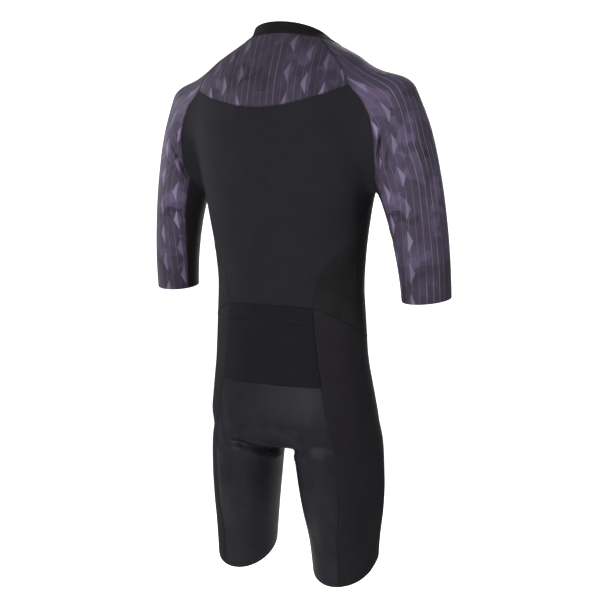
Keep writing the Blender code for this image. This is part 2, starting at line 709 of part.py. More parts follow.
def build():
    w = even(ARM_ROWS) ** ARM_SPREAD
    raglan_rows = YOKE_ROWS + [v for v in CHEST_ROWS[1:] if v <= RAGLAN_END]

    yoke = back_grid(YOKE_ROWS, even(BACK_COLUMNS))
    back = back_grid(CHEST_ROWS + MESH_ROWS + HIP_ROWS[1:], even(BACK_COLUMNS))
    sleeve = sleeve_grid(raglan_rows, w, even(SLEEVE_COLUMNS))
    gusset = gusset_grid(w, even(GUSSET_COLUMNS))
    front_rows = np.concatenate([YOKE_ROWS, CHEST_ROWS[1:], mesh_side(MESH_ROWS)[1:]])
    front = front_grid(front_rows, even(FRONT_COLUMNS + HIP_COLUMNS - 1))
    mesh = mesh_grid(MESH_ROWS, even(MESH_COLUMNS))

    shorts = HIP_ROWS + SHORTS_ROWS[1:]
    waist = front[-1][::-1]
    hip_top = np.vstack([mesh[-1], waist[1:HIP_COLUMNS + 1]])
    mid_front = centre(CENTRE_FRONT, -1, [WAIST])
    front_top = np.vstack([waist[HIP_COLUMNS:], mid_front])
    leg_side = leg_side_grid(shorts, even(MESH_COLUMNS + HIP_COLUMNS), hip_top)
    leg_front = leg_front_grid(shorts, even(FRONT_COLUMNS), front_top)
    leg_back = leg_back_grid(SHORTS_ROWS, even(BACK_COLUMNS))

    # collar: the base follows the yoke, the sleeve and the front
    base = np.vstack([yoke[0], sleeve[0][1:], front[0][::-1][1:]])
    turn = np.degrees(np.arctan2(base[:, 0], base[:, 1]))
    collar = [base]
    for k in (0.5, 1.0):
        high = [a + (b - a) * k for a, b in zip(NECK_BASE, COLLAR_TOP)]
        row = ring(turn, *high)
        row[-1] = cast((ZIP_HALF, 0, high[0]), (0, -1, -high[1]))
        collar.append(row)
    collar = np.array(collar[::-1])
    # zip tape: from the collar's top to the waist, from the middle to the panels
    tape = np.vstack([collar[:2, -1], front[:, 0]])
    fall = np.zeros(len(tape))
    fall[:3] = np.linspace(COLLAR_TOP[1], NECK_BASE[1], 3)
    middle = [cast((0, 0, p[2] - p[1] * s), (0, -1, -s)) for p, s in zip(tape, fall)]
    tape = np.stack([tape, np.array(middle)], 1)

    whole("collar", "collar", [collar])
    whole("yoke_back", "print", [yoke])
    whole("back_panel", "body", [back])
    pair("sleeve", "print", sleeve)
    pair("under_sleeve", "body", gusset)
    pair("front", "body", front)
    pair("side_mesh", "mesh", mesh)
    pair("leg_back", "shorts", leg_back)
    pair("leg_side", "shorts", leg_side)
    pair("leg_front", "shorts", leg_front)
    pocket = back[len(CHEST_ROWS) + len(MESH_ROWS) - 1:]
    whole("back_pocket", "pocket", [pocket], lift=SEAM + CLOTH)
    # the pad keeps to the shorts' own rows and columns, just inside their wall
    pad_rows = slice(SHORTS_ROWS.index(PAD_ROWS[0]), SHORTS_ROWS.index(PAD_ROWS[1]) + 1)
    below = len(HIP_ROWS) - 1
    front_rows = slice(pad_rows.start + below + 1, pad_rows.stop + below)
    pad = [leg_back[pad_rows, :PAD_COLUMNS[0] + 1], leg_front[front_rows, -PAD_COLUMNS[1] - 1:]]
    whole("seat_pad", "pad", pad, lift=-CLOTH - SEAM, wall=PAD, gap=0)
    pair("zip_tape", "tape", tape, wall=TAPE)
    slider()
    pull()


clear()
SUIT = bpy.data.collections.new("triathlon_suit")
SHAPERS = bpy.data.collections.new("shapers")
for collection in (SUIT, SHAPERS):
    bpy.context.scene.collection.children.link(collection)
MATERIALS = {
    "print": make_material("printed_knit", (0.075, 0.060, 0.090), 0.75),
    "body": make_material("body_knit", (0.022, 0.021, 0.024), 0.80),
    "mesh": make_material("side_mesh", (0.011, 0.011, 0.012), 0.85),
    "shorts": make_material("shorts_knit", (0.024, 0.024, 0.028), 0.60),
    "pocket": make_material("pocket_mesh", (0.014, 0.014, 0.016), 0.85),
    "collar": make_material("collar_knit", (0.013, 0.013, 0.014), 0.80),
    "pad": make_material("pad_foam", (0.10, 0.10, 0.11), 0.90),
    "tape": make_material("zip_tape", (0.012, 0.012, 0.013), 0.80),
    "slider": make_material("slider_metal", (0.03, 0.03, 0.03), 0.40, 0.8),
}
build()
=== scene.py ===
"""Triathlon suit: the cloth, seams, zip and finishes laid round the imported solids.

Metres, +Z up. The front faces -Y, the back +Y, the wearer's left is +X. Every piece of cloth
is laid on one body form, which the first half of this file works out from short tables.
"""

from functools import lru_cache

import bpy
import numpy as np
from mathutils import Matrix, Vector


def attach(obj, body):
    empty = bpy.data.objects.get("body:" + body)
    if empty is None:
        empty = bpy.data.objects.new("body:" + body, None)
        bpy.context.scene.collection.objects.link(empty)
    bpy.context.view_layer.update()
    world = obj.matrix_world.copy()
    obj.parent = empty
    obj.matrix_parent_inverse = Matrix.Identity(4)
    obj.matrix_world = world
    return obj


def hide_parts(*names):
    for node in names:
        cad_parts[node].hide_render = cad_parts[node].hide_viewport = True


bl_info = {
    "name": "Triathlon suit",
    "version": (1, 0, 0),
    "blender": (4, 5, 0),
    "location": "View3D > Sidebar > Triathlon suit",
    "description": "Lays the cloth, seams, zip and print of a triathlon suit on its packed solids",
    "category": "Object",
}

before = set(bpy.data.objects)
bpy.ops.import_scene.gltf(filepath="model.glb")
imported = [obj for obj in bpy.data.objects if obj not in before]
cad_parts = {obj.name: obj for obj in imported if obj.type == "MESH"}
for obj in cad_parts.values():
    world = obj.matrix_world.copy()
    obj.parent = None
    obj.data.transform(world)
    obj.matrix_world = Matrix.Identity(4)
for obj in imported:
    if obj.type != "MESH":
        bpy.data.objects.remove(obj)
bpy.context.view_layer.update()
MM = 1000.0                     # millimetres in a metre
MIRROR = np.array((-1.0, 1.0, 1.0))


def metres(units, rows):
    """A table whose columns marked m are given in millimetres, and the others as they are."""
    return np.array(rows) / [MM if unit == "m" else 1 for unit in units]


# ---- driving sizes
CLOTH = 0.0016        # wall of a cloth piece
SEAM = 0.0003         # space between two pieces along a seam
PAD = 0.0040          # thickness of the seat pad
ZIP_HALF = 0.0140     # half width of the closed zip with its tapes
TAPE = 0.0012         # wall of a zip tape
NECK_BASE = (-0.018, 0.20)      # collar seam: height on the axis, rise towards the back
COLLAR_TOP = (-0.0005, 0.27)    # free edge of the collar, same columns
CUFF = 0.885                    # cuff, as a share of the arm axis
RAGLAN_BACK_AT, RAGLAN_FRONT_AT = 68.0, 116.0   # where the sleeve meets the collar, degrees

# ---- zip slider and pull
SLIDER_AT = -0.030                    # height of the slider on the closed zip
ZIP_CHORD = (0.004, -0.034)           # the pull lies along the zip between these, from there
SLIDER = dict(wall=0.0018, off=0.0007, bevel=0.0004)  # off: from the zip to the plate
# height from the zip; the top is this share of the length, and the corners start this high
BRIDGE = dict(width=0.0034, length=0.0058, height=0.0060, sunk=0.0005, bevel=0.0003,
              top=0.68, corner=0.78)
EYE = dict(out=0.0043, size=0.0028)   # centre of the eye, from the zip
PULL = dict(width=0.0076, length=0.0300, wall=0.0013, bar=0.0013, side=0.0013, window=0.0066,
            bevel=0.00035)
ROUND_STEP = 10                       # degrees between points of the pull's round end

# ---- body form
# trunk: height, half width, back, front, squareness
TRUNK = metres("mmmm-", [
    (80, 58, 40, -75, 2), (30, 59, 52, -71, 2), (0, 63, 62, -68, 2), (-20, 90, 73, -66, 2),
    (-45, 134, 83, -68, 2), (-85, 172, 99, -76, 2.1), (-140, 176, 109, -92, 2.3),
    (-210, 164, 111, -102, 2.3), (-290, 146, 105, -97, 2.3), (-370, 135, 92, -91, 2.3),
    (-420, 132, 87, -89, 2.3), (-480, 135, 87, -92, 2.3), (-540, 138, 89, -96, 2.3),
    (-600, 142, 89, -96, 2.3), (-660, 143, 86, -92, 2.3)])
TRUNK_END, TRUNK_CAP = -0.640, 0.070
# thigh: height, centre x, centre y, half width, half depth
THIGH = metres("mmmmm", [
    (-560, 78, -8, 56, 82), (-640, 83, -10, 63, 87), (-700, 89.5, -11, 66, 89),
    (-760, 93.5, -12, 64, 85), (-810, 95.5, -13, 61, 77), (-870, 97.5, -16, 57, 64),
    (-960, 99.5, -18, 52, 55)])
THIGH_TOP, THIGH_CAP, THIGH_TURN = -0.71, 0.20, np.radians(20)
# arm: length along the axis, half width, half depth
ARM = metres("mmm", [
    (0, 59, 60), (60, 55, 65), (140, 47, 60), (220, 41, 53), (300, 38, 47), (380, 36, 44)])
SHOULDER = np.array((0.170, 0.000, -0.120))
ARM_BEND = np.array((0.249, 0.000, -0.290))
ARM_END = np.array((0.244, -0.022, -0.480))
ARM_LENGTH, ARM_CAP, ARM_TURN = 0.375, 0.044, np.radians(-20)
BLEND_ARM, BLEND_THIGH, BLEND_CROTCH = 0.036, 0.034, 0.030
ARM_REACH, LEG_REACH = 0.085, -0.470     # the arms lie outside this, the legs below this
ARM_PAST = 1.2                  # the arm axis is followed to this share of its length
# a ray's reach, its pace as a share of the field, its least step and its halvings at the end
RAY_REACH, RAY_PACE, RAY_LEAST, RAY_HALVINGS = 0.36, 0.7, 0.0004, 9
SETTLINGS = 10                  # steps that bring a point onto the form

# ---- seams
# Every seam is a short run of points near the form: station, x, y, z. Stations count the
# rows of cloth from the collar (0) over the armpit, the waist and the crotch to the hem (24).
ARMPIT_ROW, WAIST_ROW, CROTCH_ROW = 8, 13, 18
RAGLAN_BACK = metres("-mmm", [
    (1, 100, 50, -38), (2, 127, 64, -66), (3, 141, 71, -92), (4, 164, 71, -120),
    (5, 178, 67, -158), (6, 181, 58, -200), (7, 180, 40, -236)])
RAGLAN_FRONT = metres("-mmm", [
    (1, 94, -45, -40), (2, 120, -54, -66), (3, 142, -58, -92), (4, 163, -57, -120),
    (5, 176, -54, -158), (6, 181, -46, -200), (7, 181, -32, -236)])
SIDE = metres("-mmm", [
    (9, 150, 12, -304), (10, 141, 22, -347), (11.5, 134, 12, -424), (13, 137, -7, -502)])
MESH_EDGE = metres("-mmm", [
    (10.25, 138, 30, -348), (11, 112, 62, -371), (12, 88, 73, -405), (13, 79, 75, -450)])
SIDE_BACK = metres("-mmm", [
    (13, 79, 75, -450), (14, 86, 74, -516), (15, 95, 72, -583), (16, 104, 72, -628),
    (17, 112, 65, -670), (18, 117, 59, -712), (20, 117, 53, -790), (22, 113, 44, -866),
    (24, 112.5, 36, -938)])
SIDE_FRONT = metres("-mmm", [
    (13, 104, -68, -514), (15, 114, -76, -592), (18, 130, -74, -700), (21, 136, -60, -806),
    (24, 134.5, -44, -898)])
INSEAM = metres("-mmm", [
    (18.5, 12, -12, -722), (19, 26, -13, -750), (21, 34, -15, -814), (24, 45, -18, -911)])
# centre back and centre front: station, height of the ray's start, fall of the ray (degrees)
CENTRE_BACK = metres("-m-", [
    (0, -18, 0), (3, -126, 0), (8, -292, 0), (10, -356, 0), (13, -448, 0), (15, -582, 0),
    (16, -630, 4), (17, -630, 38), (18, -630, 90)])
CENTRE_FRONT = metres("-m-", [
    (0, -18, 0), (3, -130, 0), (8, -300, 0), (10, -372, 0), (13, -530, 0), (15, -612, 0),
    (16, -630, 18), (17, -630, 52), (18, -630, 90)])
CROTCH_Y, TRUNK_ONLY = -0.010, -0.5     # rays start at this y below this height
WRAP_FROM = np.radians(-35)     # a leg's front is counted on past 180 degrees, down to here
# sleeve rows above the armpit: station, centre x, centre y, centre z, rise of the crown (degrees)
SLEEVE_ROWS = metres("-mmm-", [
    (0, 0, 0, -18, 0), (1, 55, 0, -50, 30), (2, 88, 1, -76, 50), (3, 112, 2, -98, 54),
    (4, 136, 3, -118, 46), (5, 158, 4, -140, 36), (6, 178, 5, -166, 26),
    (7, 193, 5, -196, 18)])
ARM_AT_ARMPIT = 0.215           # arm axis share level with station 7
GUSSET_DROP = 0.16              # the gusset starts this share of the way to the cuff lower
# gusset under the arm: share of the way to the cuff, back edge and front edge as angles
# from the outer side of the arm
GUSSET = np.array([(0.0, 118, -112), (0.35, 134, -132), (0.7, 146, -146), (1.0, 151, -151)])
# over these shares of the way to the cuff the armhole's shape is let go
GUSSET_FADE, SLEEVE_FADE, GUSSET_TOP_FADE = 0.3, 0.2, 0.25
ARMPIT_RAY = (0.163, 0.005, -0.210)     # the armpit lies straight below this point
RAGLAN_END = 7                  # station where the gusset parts from the sleeve
# rows of the legs: station, centre x, centre y, centre z, tilt of the row (degrees)
LEG_ROWS = metres("-mmm-", [
    (13, 0, 0, -500, 0), (15, 12, 0, -588, 0), (16, 30, -2, -628, 0), (17, 54, -5, -664, 0),
    (18, 76, -9, -702, 0), (19, 88, -11, -744, 0), (20, 92, -12, -784, 4),
    (24, 96.5, -18, -911, 26.57)])

BACK_BEND = 1.7                 # the back's rows stay level at the spine and rise at the sides
LEG_TOP_FADE = 4                # rows over which the leg's panels let go of the waist's spacing

# ---- rows and columns of cloth
YOKE_ROWS = [0, 1, 2, 3]
CHEST_ROWS = [3, 4, 4.5, 5, 5.5, 6, 7, 7.5, 8, 8.5, 9, 9.5, 10]
SIDE_TIP = 10                   # the mesh panel's tip meets the side seam here
MESH_ROWS = [10.25, 11, 11.5, 12, 12.5, 13]
HIP_ROWS = [13, 13.4, 13.8, 14.2, 14.6, 15]
SHORTS_ROWS = [15, 15.5, 16, 16.5, 17, 17.5, 18, 18.5, 19, 19.6, 20.2, 20.9, 21.6, 22.4, 23.2, 24]
ARM_ROWS, ARM_SPREAD = 10, 0.95
BACK_COLUMNS, SLEEVE_COLUMNS, GUSSET_COLUMNS, MESH_COLUMNS = 7, 12, 4, 4
HIP_COLUMNS, FRONT_COLUMNS = 3, 5

# ---- cloth as worn
ROWS_PER_CELL, COLUMNS_PER_CELL = 8, 6      # finer grid between the solids' rows and columns
COLLAR_ROWS, TAPE_COLUMNS = 8, 4
EDGE_CROWD = 0.55             # how much closer a sleeve's columns lie beside its seams
# rounds of smoothing for a sheet and for a leg's side, and rounds from one refit to the next
EASED, SIDE_EASED, REFIT = 60, 180, 60
EDGE, EDGE_DROP = 0.0008, 0.00007           # a cut edge is rounded over this width and depth
COLLAR_WALL = 0.0016
# a fold reaches this far off its line, and this many widths to its sides; it fades on cloth
# that turns away, tapers to its ends, and has a low ridge this many widths beside it
FOLD_REACH, FOLD_SPREAD, FOLD_FACING, FOLD_TAPER = 0.030, 5, 0.4, 0.8
RIDGE, RIDGE_AT = 0.35, 2.0
THREAD, STITCH, SEAM_HALF, NEEDLE_HALF = 0.00042, 0.0024, 0.0018, 0.0008
# in threads: how high a thread lies, how deep its stitches dip, and the looping thread
THREAD_SEAT, THREAD_DIP, LOOP_THREAD = 0.6, 0.5, 0.42
FINE_SUNK, BAG_LIFT, HEM_LIFT = -0.0003, 0.0012, 0.0026    # stitch rows off the cloth
ZIP_ROWS = (0.0018, 0.0036)     # needle rows beside the zip, on the front and on the tape
# pocket: how full its bags stand, how square they are, rows of its band; then the walls of
# its net and its band and the band's height, in walls of cloth
POCKET_FULL, POCKET_SQUARE, POCKET_BAND = 0.0010, 0.6, 9
NET_WALL, BAND_WALL, BAND_LIFT = 0.8, 1.2, 0.4
# the print: where the rhombs start from the middle, the painted shade that darkens the yoke's
# print, blocks of its stripes
YOKE_MOTIFS_FROM, SLEEVE_MOTIFS_FROM, YOKE_PAINTED_SHADE, STRIPE_BLOCK = 0.030, 0.058, 0.66, 0.037
CALM = 300                      # rounds that even the run of the print down a sleeve
CUFF_BAND, CUFF_SOFT, CUFF_SHADE = 0.064, 0.0008, 0.80     # printed band: height, edge, tone
PATCH_LARGE, PATCH_SMALL = 0.034, 0.016    # the print's blocks of tone

# folds: start x y z, end x y z, bow, width, depth, all in millimetres; left is where x is over 0
FOLDS = [
    # back of the armpits
    (206, 61, -176, 176, 48, -242, 4, 2.3, 6.6),
    (197, 64, -184, 174, 54, -232, -3, 2.1, 4.6),
    (214, 50, -204, 182, 40, -256, 5, 2.6, 3.4),
    (192, 66, -156, 178, 64, -196, 2, 2.1, 2.8),
    (170, 66, -222, 158, 55, -262, -4, 6.0, 1.2),
    (-202, 62, -152, -190, 55, -244, -8, 2.1, 5.6),
    (-211, 58, -172, -203, 56, -236, -4, 2.2, 3.6),
    (-191, 66, -166, -185, 64, -218, 3, 2.0, 3.2),
    (-182, 62, -214, -166, 58, -258, 4, 6.0, 1.4),
    (-212, 46, -222, -196, 30, -262, -4, 3.6, 2.0),
    # front of the armpits
    (202, -60, -164, 178, -44, -232, 5, 3.0, 4.6),
    (211, -62, -186, 184, -42, -244, 4, 3.0, 2.4),
    (176, -62, -206, 158, -62, -252, -4, 5.5, 1.3),
    (-204, -60, -168, -180, -44, -230, -5, 3.0, 4.4),
    (-192, -58, -174, -176, -52, -214, 4, 2.6, 2.2),
    (-174, -64, -214, -160, -58, -260, 4, 5.5, 1.2),
    # inside of the elbows
    (226, -46, -338, 270, -40, -350, 4, 5.0, 1.4),
    (224, -52, -372, 264, -52, -378, 3, 6.0, 1.0),
    (-226, -46, -334, -268, -42, -344, -4, 5.0, 1.3),
    (-228, -50, -362, -268, -48, -374, -3, 5.5, 1.1),
    (222, 36, -330, 214, 10, -356, 3, 5.0, 0.9),
    (-220, 38, -318, -212, 10, -342, -3, 5.0, 1.0),
    # waist
    (134, -34, -402, 108, -72, -418, 6, 8.0, 1.1),
    (96, -80, -420, 30, -88, -410, 5, 9.0, 0.8),
    (-132, -38, -396, -100, -76, -410, -6, 8.0, 1.0),
    (-92, -82, -430, -34, -88, -424, -5, 9.0, 0.8),
    (118, 54, -392, 70, 84, -400, 5, 9.0, 0.6),
    (-120, 52, -400, -84, 78, -412, -5, 9.0, 0.6),
    # under the seat
    (96, 74, -692, 26, 36, -714, 5, 5.5, 7.0),
    (40, 62, -706, 14, -34, -730, 4, 7.0, 5.0),
    (92, 74, -612, 84, 70, -690, -4, 10.0, 1.6),
    (112, 56, -692, 82, 72, -704, -3, 8.0, 1.2),
    (-74, 76, -692, -10, -30, -726, -4, 7.0, 5.2),
    (-90, 74, -618, -86, 70, -686, 4, 11.0, 1.0),
    (-58, 80, -684, -116, 58, -702, 5, 8.0, 1.8),
    (-46, 66, -714, -80, 64, -724, 4, 7.0, 1.0),
    # down the backs of the thighs
    (120, 58, -716, 118, 46, -830, 4, 7.0, 1.6),
    (62, 66, -742, 70, 46, -880, -5, 9.0, 1.8),
    (98, 66, -760, 100, 50, -890, 3, 12.0, 0.9),
    (-64, 68, -736, -70, 46, -890, 4, 10.0, 1.4),
    (-104, 64, -744, -100, 48, -870, -4, 9.0, 1.2),
    # front of the hips and the crotch
    (24, -92, -650, 88, -84, -612, 5, 9.0, 1.2),
    (26, -80, -686, 96, -80, -656, 5, 9.0, 1.3),
    (34, -64, -718, 80, -76, -708, 4, 8.0, 1.0),
    (-24, -92, -656, -82, -86, -624, -5, 9.0, 1.1),
    (-28, -80, -690, -100, -80, -666, -5, 9.0, 1.2),
    (-36, -62, -722, -76, -76, -716, -4, 8.0, 0.9),
]

# seat pad: where it starts and ends on the centre seams, run and half width in millimetres
PAD_FROM, PAD_TO = 16.0, 17.2
PAD_WIDTH = np.array([(0, 62), (30, 74), (60, 62), (85, 36), (105, 22), (125, 24), (150, 40),
                      (190, 44)])
# how far along the pad it is sewn to the shorts, and its half width there
PAD_SEWN = np.array([(0, -18), (18, 0), (19, 28), (22, 48), (30, 60), (42, 64), (60, 58), (85, 36),
                     (105, 24), (125, 24), (150, 40), (190, 44)])
PAD_POINTS, SEW_POINTS = (60, 40), (60, 120)     # along its line and its stitches, by parts
PAD_LINE = (0.018, 0.024, 0.150)  # the line of stitches along the pad: start, bend and end
PAD_SLOPE, PAD_SEW, PAD_STITCH, PAD_STEP = 0.0026, 0.0030, 0.0030, 0.0056
PAD_DITCH, PAD_PUCKER = 0.0024, 0.0003
PAD_REACH, PAD_FADE = 0.03, 0.02  # its relief ends this far off its line, over this width
# the foam: cells, then millimetres of its bevel, its channels' place and their half width;
# then shares of its thickness at the rim and cut by the channels
PAD_GRID, PAD_BEVEL, PAD_CHANNEL, CHANNEL_HALF = (48, 36), 8.0, 16.0, 2.0
PAD_RIM, CHANNEL_DEPTH = 0.3, 0.45

# zip, in metres
TOOTH, TOOTH_POINTS, WIRE_SIDES = 0.0020, 8, 5
COIL = dict(middle=0.0010, swing=0.0013, height=0.00036, rise=0.0001, wire=0.00022)
STOP = [(-0.0026, -0.0014), (0.0026, -0.0014), (0.0026, 0.0014), (-0.0026, 0.0014)]
STOP_PROUD, STOP_BEVEL = 0.0003, 0.0002
SLIDER_OUTLINE = np.array([
    (-2.6, -5.75), (2.6, -5.75), (3.3, -4.8), (3.5, -1.5), (4.1, 1.0), (4.1, 4.7), (3.2, 5.75),
    (1.2, 5.75), (0.0, 4.6), (-1.2, 5.75), (-3.2, 5.75), (-4.1, 4.7), (-4.1, 1.0),
    (-3.5, -1.5), (-3.3, -4.8)]) / MM
# stands a plate on edge: its outline runs up the zip and outwards, its thickness across
SIDEWAYS = Matrix(((0, 0, 1, 0), (1, 0, 0, 0), (0, 1, 0, 0), (0, 0, 0, 1)))

# ---- studio
FLOOR, FLOOR_RADIUS = -1.480, 14.0
# light of the room; the paper wall's glow is painted light, which the suit's rays don't see
ROOM_LIGHT, PAPER_PAINTED_GLOW = 0.35, 0.90
# wall of white paper round the suit: where its painted glow starts and is full, with a painted
# shadow round the suit inside that, its distance, the radius of its foot, its top, and how far its
# lower part lies off the floor
PAPER_FROM, PAPER_FULL, PAPER_AWAY, PAPER_ROUND, PAPER_TOP = 0.25, 1.0, 3.8, 0.9, 2.4
PAPER_OFF = 0.002
RING_STEP, BEND_STEP = 5, 10    # degrees between the paper's points, round it and up its foot
CAMERA_TURN, CAMERA_FALL = 27.0, 7.32
CAMERA_AWAY, CAMERA_ASIDE, CAMERA_HIGH, LENS, SENSOR = 1.698, 0.0168, -0.2321, 58.96, 36.0
# name, degrees round the suit from the front, height, distance, size, spread, watts, aim height
LIGHTS = [
    ("strip_back", 179.0, -0.05, 2.3, (0.34, 1.9), 110.0, 28.5, -0.50),
    ("softbox_right", 262.0, 0.20, 2.3, (0.6, 0.8), 60.0, 2.7, -0.14),
    ("softbox_left", 88.0, 0.20, 2.2, (0.5, 0.8), 60.0, 3.6, -0.16),
    ("softbox_front", 10.0, 0.30, 2.4, (1.1, 1.6), 120.0, 44.0, -0.45),
]


# ---- form
def table(rows, x):
    """Smooth monotone run through the rows of a table, every column after the first."""
    rows = np.asarray(rows, float)
    rows = rows[np.argsort(rows[:, 0])]
    xs, ys = rows[:, 0], rows[:, 1:]
    h = np.diff(xs)[:, None]
    s = np.diff(ys, axis=0) / h
    m = np.zeros_like(ys)
    w1, w2 = 2 * h[1:] + h[:-1], h[1:] + 2 * h[:-1]
    with np.errstate(divide="ignore", invalid="ignore"):
        m[1:-1] = np.where(s[:-1] * s[1:] > 0, (w1 + w2) / (w1 / s[:-1] + w2 / s[1:]), 0)
    m[0], m[-1] = s[0], s[-1]
    x = np.clip(np.asarray(x, float), xs[0], xs[-1])
    i = np.clip(np.searchsorted(xs, x) - 1, 0, len(xs) - 2)
    t, hh = ((x - xs[i]) / h[i, 0])[:, None], h[i]
    return ((2 * t**3 - 3 * t**2 + 1) * ys[i] + (t**3 - 2 * t**2 + t) * hh * m[i]
            + (-2 * t**3 + 3 * t**2) * ys[i + 1] + (t**3 - t**2) * hh * m[i + 1])


def radial(x, y, a, b, n=2.0):
    """Distance to a superellipse along the ray from its centre."""
    q = np.maximum((np.abs(x / a) ** n + np.abs(y / b) ** n) ** (1 / n), 1e-6)
    return np.hypot(x, y) * (1 - 1 / q) - np.where(q < 1e-5, np.minimum(a, b), 0)


def join(a, b, k):
    """Union of two fields with a soft fillet of size k."""
    h = np.maximum(k - np.abs(a - b), 0) / k
    return np.minimum(a, b) - h * h * k / 4


def trunk(p):
    a, back, front, n = table(TRUNK, p[:, 2]).T
    y, half = p[:, 1] - (back + front) / 2, (back - front) / 2
    low = np.maximum(TRUNK_END - p[:, 2], 0) / TRUNK_CAP
    s = np.sqrt(np.maximum(1 - np.minimum(low, 1) ** 2, 1e-4))
    d = radial(p[:, 0], y, a * s, half * s, n)
    return np.where(low > 0, np.maximum(d, (low - 1) * TRUNK_CAP), d)


def thigh(p):
    cx, cy, a, b = table(THIGH, p[:, 2]).T
    x, y = p[:, 0] - cx, p[:, 1] - cy
    c, w = np.cos(THIGH_TURN), np.sin(THIGH_TURN)
    x, y = x * c + y * w, y * c - x * w
    high = np.maximum(p[:, 2] - THIGH_TOP, 0) / THIGH_CAP
    s = np.sqrt(np.maximum(1 - np.minimum(high, 1) ** 2, 1e-4))
    return np.maximum(radial(x, y, a * s, b * s), (high - 1) * THIGH_CAP)


def unit(v):
    return v / np.linalg.norm(v, axis=-1, keepdims=True)


def arm_frame(t):
    """Point of the arm axis at share t, with the directions along, inwards and back."""
    t = np.asarray(t, float)[..., None]
    p = (1 - t) ** 2 * SHOULDER + 2 * t * (1 - t) * ARM_BEND + t**2 * ARM_END
    along = unit(2 * (1 - t) * (ARM_BEND - SHOULDER) + 2 * t * (ARM_END - ARM_BEND))
    inwards = unit(np.cross((0, 1, 0), along))
    return p, along, inwards, np.cross(along, inwards)


def arm(p):
    t = np.clip((SHOULDER[2] - p[:, 2]) / (SHOULDER[2] - ARM_END[2]), 0, ARM_PAST)
    for _ in range(4):
        c, along, inwards, back = arm_frame(t)
        t = np.clip(t + ((p - c) * along).sum(1) / ARM_LENGTH, 0, ARM_PAST)
    c, along, inwards, back = arm_frame(t)
    k, w = np.cos(ARM_TURN), np.sin(ARM_TURN)
    q = p - c
    a, b = table(ARM, t * ARM_LENGTH).T
    u, v = (q * (inwards * k + back * w)).sum(1), (q * (back * k - inwards * w)).sum(1)
    e = np.sqrt((u / a) ** 2 + (v / b) ** 2 + ((q * along).sum(1) / ARM_CAP) ** 2)
    cap = np.linalg.norm(q, axis=1) * (1 - 1 / np.maximum(e, 1e-6))
    return np.where(t > 0, radial(u, v, a, b), cap)


def field(p):
    """Signed distance, roughly, to the body form: negative inside."""
    p = p * (1, 1, 1)
    p[:, 0] = np.abs(p[:, 0])
    form = trunk(p)
    low, outer = p[:, 2] < LEG_REACH, p[:, 0] > ARM_REACH
    legs = join(thigh(p[low]), thigh(p[low] * MIRROR), BLEND_CROTCH)
    form[low] = join(form[low], legs, BLEND_THIGH)
    form[outer] = join(form[outer], arm(p[outer]), BLEND_ARM)
    return form


def gradient(p, e=5e-4):
    g = [field(p + d) - field(p - d) for d in np.eye(3) * e]
    return np.stack(g, 1) / (2 * e)


def cast(start, way):
    """First point where the ray from inside leaves the form, found by stepping on its field."""
    shape = np.broadcast(start, way).shape
    o = np.broadcast_to(start, shape).reshape(-1, 3) * 1.0
    d = unit(np.broadcast_to(way, shape).reshape(-1, 3) * 1.0)
    near, far, f_near, f_far = np.zeros((4, len(o)))
    inside = np.arange(len(o))
    while len(inside):
        f = field(o[inside] + d[inside] * far[inside, None])
        f_far[inside] = f
        on = (f < 0) & (far[inside] < RAY_REACH)
        inside, f = inside[on], f[on]
        near[inside], f_near[inside] = far[inside], f
        far[inside] += np.maximum(-RAY_PACE * f, RAY_LEAST)
    for k in range(RAY_HALVINGS):
        share = np.clip(f_near / (f_near - f_far - 1e-12), 0.02, 0.98)
        mid = near + (far - near) * (share if k % 2 else 0.5)
        f = field(o + d * mid[:, None])
        far, f_far = np.where(f > 0, (mid, f), (far, f_far))
        near, f_near = np.where(f > 0, (near, f_near), (mid, f))
    return (o + d * mid[:, None]).reshape(shape)


def on_form(p):
    """Nearest point of the form, for points that lie close to it."""
    p = np.array(p, float)
    for _ in range(SETTLINGS):
        g = gradient(p)
        p -= (field(p) / (g * g).sum(1))[:, None] * g
    return p


# ---- seam curves
def ring(degrees, height, rise):
    """Point of a tilted ring round the neck; 0 degrees is the centre back, 90 the left side."""
    a = np.radians(np.atleast_1d(degrees))
    return cast((0, 0, height), np.stack([np.sin(a), np.cos(a), rise * np.cos(a)], 1))


def seam(rows, v):
    return on_form(table(rows, v))


def raglan(front, v):
    start, rows = ((RAGLAN_BACK_AT, RAGLAN_BACK), (RAGLAN_FRONT_AT, RAGLAN_FRONT))[front]
    return seam([(0, *ring(start, *NECK_BASE)[0]), *rows, (ARMPIT_ROW, *ARMPIT)], v)


def side_seam(v):
    return seam([(ARMPIT_ROW, *ARMPIT), *SIDE], v)


def mesh_side(v):
    """Stations of the side seam level with the mesh panel's rows."""
    tip, waist = MESH_ROWS[0], MESH_ROWS[-1]
    return SIDE_TIP + (waist - SIDE_TIP) * (np.asarray(v, float) - tip) / (waist - tip)


def back_edge(v):
    """Outer edge of the back: raglan, side seam, mesh panel, then the side back seam."""
    v = np.asarray(v, float)[:, None]
    f = v[:, 0]
    return np.where(v <= ARMPIT_ROW, raglan(0, f), np.where(v <= SIDE_TIP, side_seam(f), np.where(
        v <= WAIST_ROW, seam(MESH_EDGE, f), seam(SIDE_BACK, f))))


def front_edge(v):
    """Outer edge of the front: raglan, then the side seam down to the waist."""
    v = np.asarray(v, float)
    return np.where(v[:, None] <= ARMPIT_ROW, raglan(1, v), side_seam(v))


def centre(rows, way, v):
    """Centre back (way 1) or centre front (way -1), which meet under the crotch."""
    v = np.asarray(v, float)
    high, fall = table(rows, v).T
    fall = np.radians(fall)
    rise = NECK_BASE[1] * np.clip(1 - v, 0, 1) * way
    start = np.stack([0 * v, np.where(high < TRUNK_ONLY, CROTCH_Y, 0), high], 1)
    return cast(start, np.stack([0 * v, way * np.cos(fall), rise - np.sin(fall)], 1))


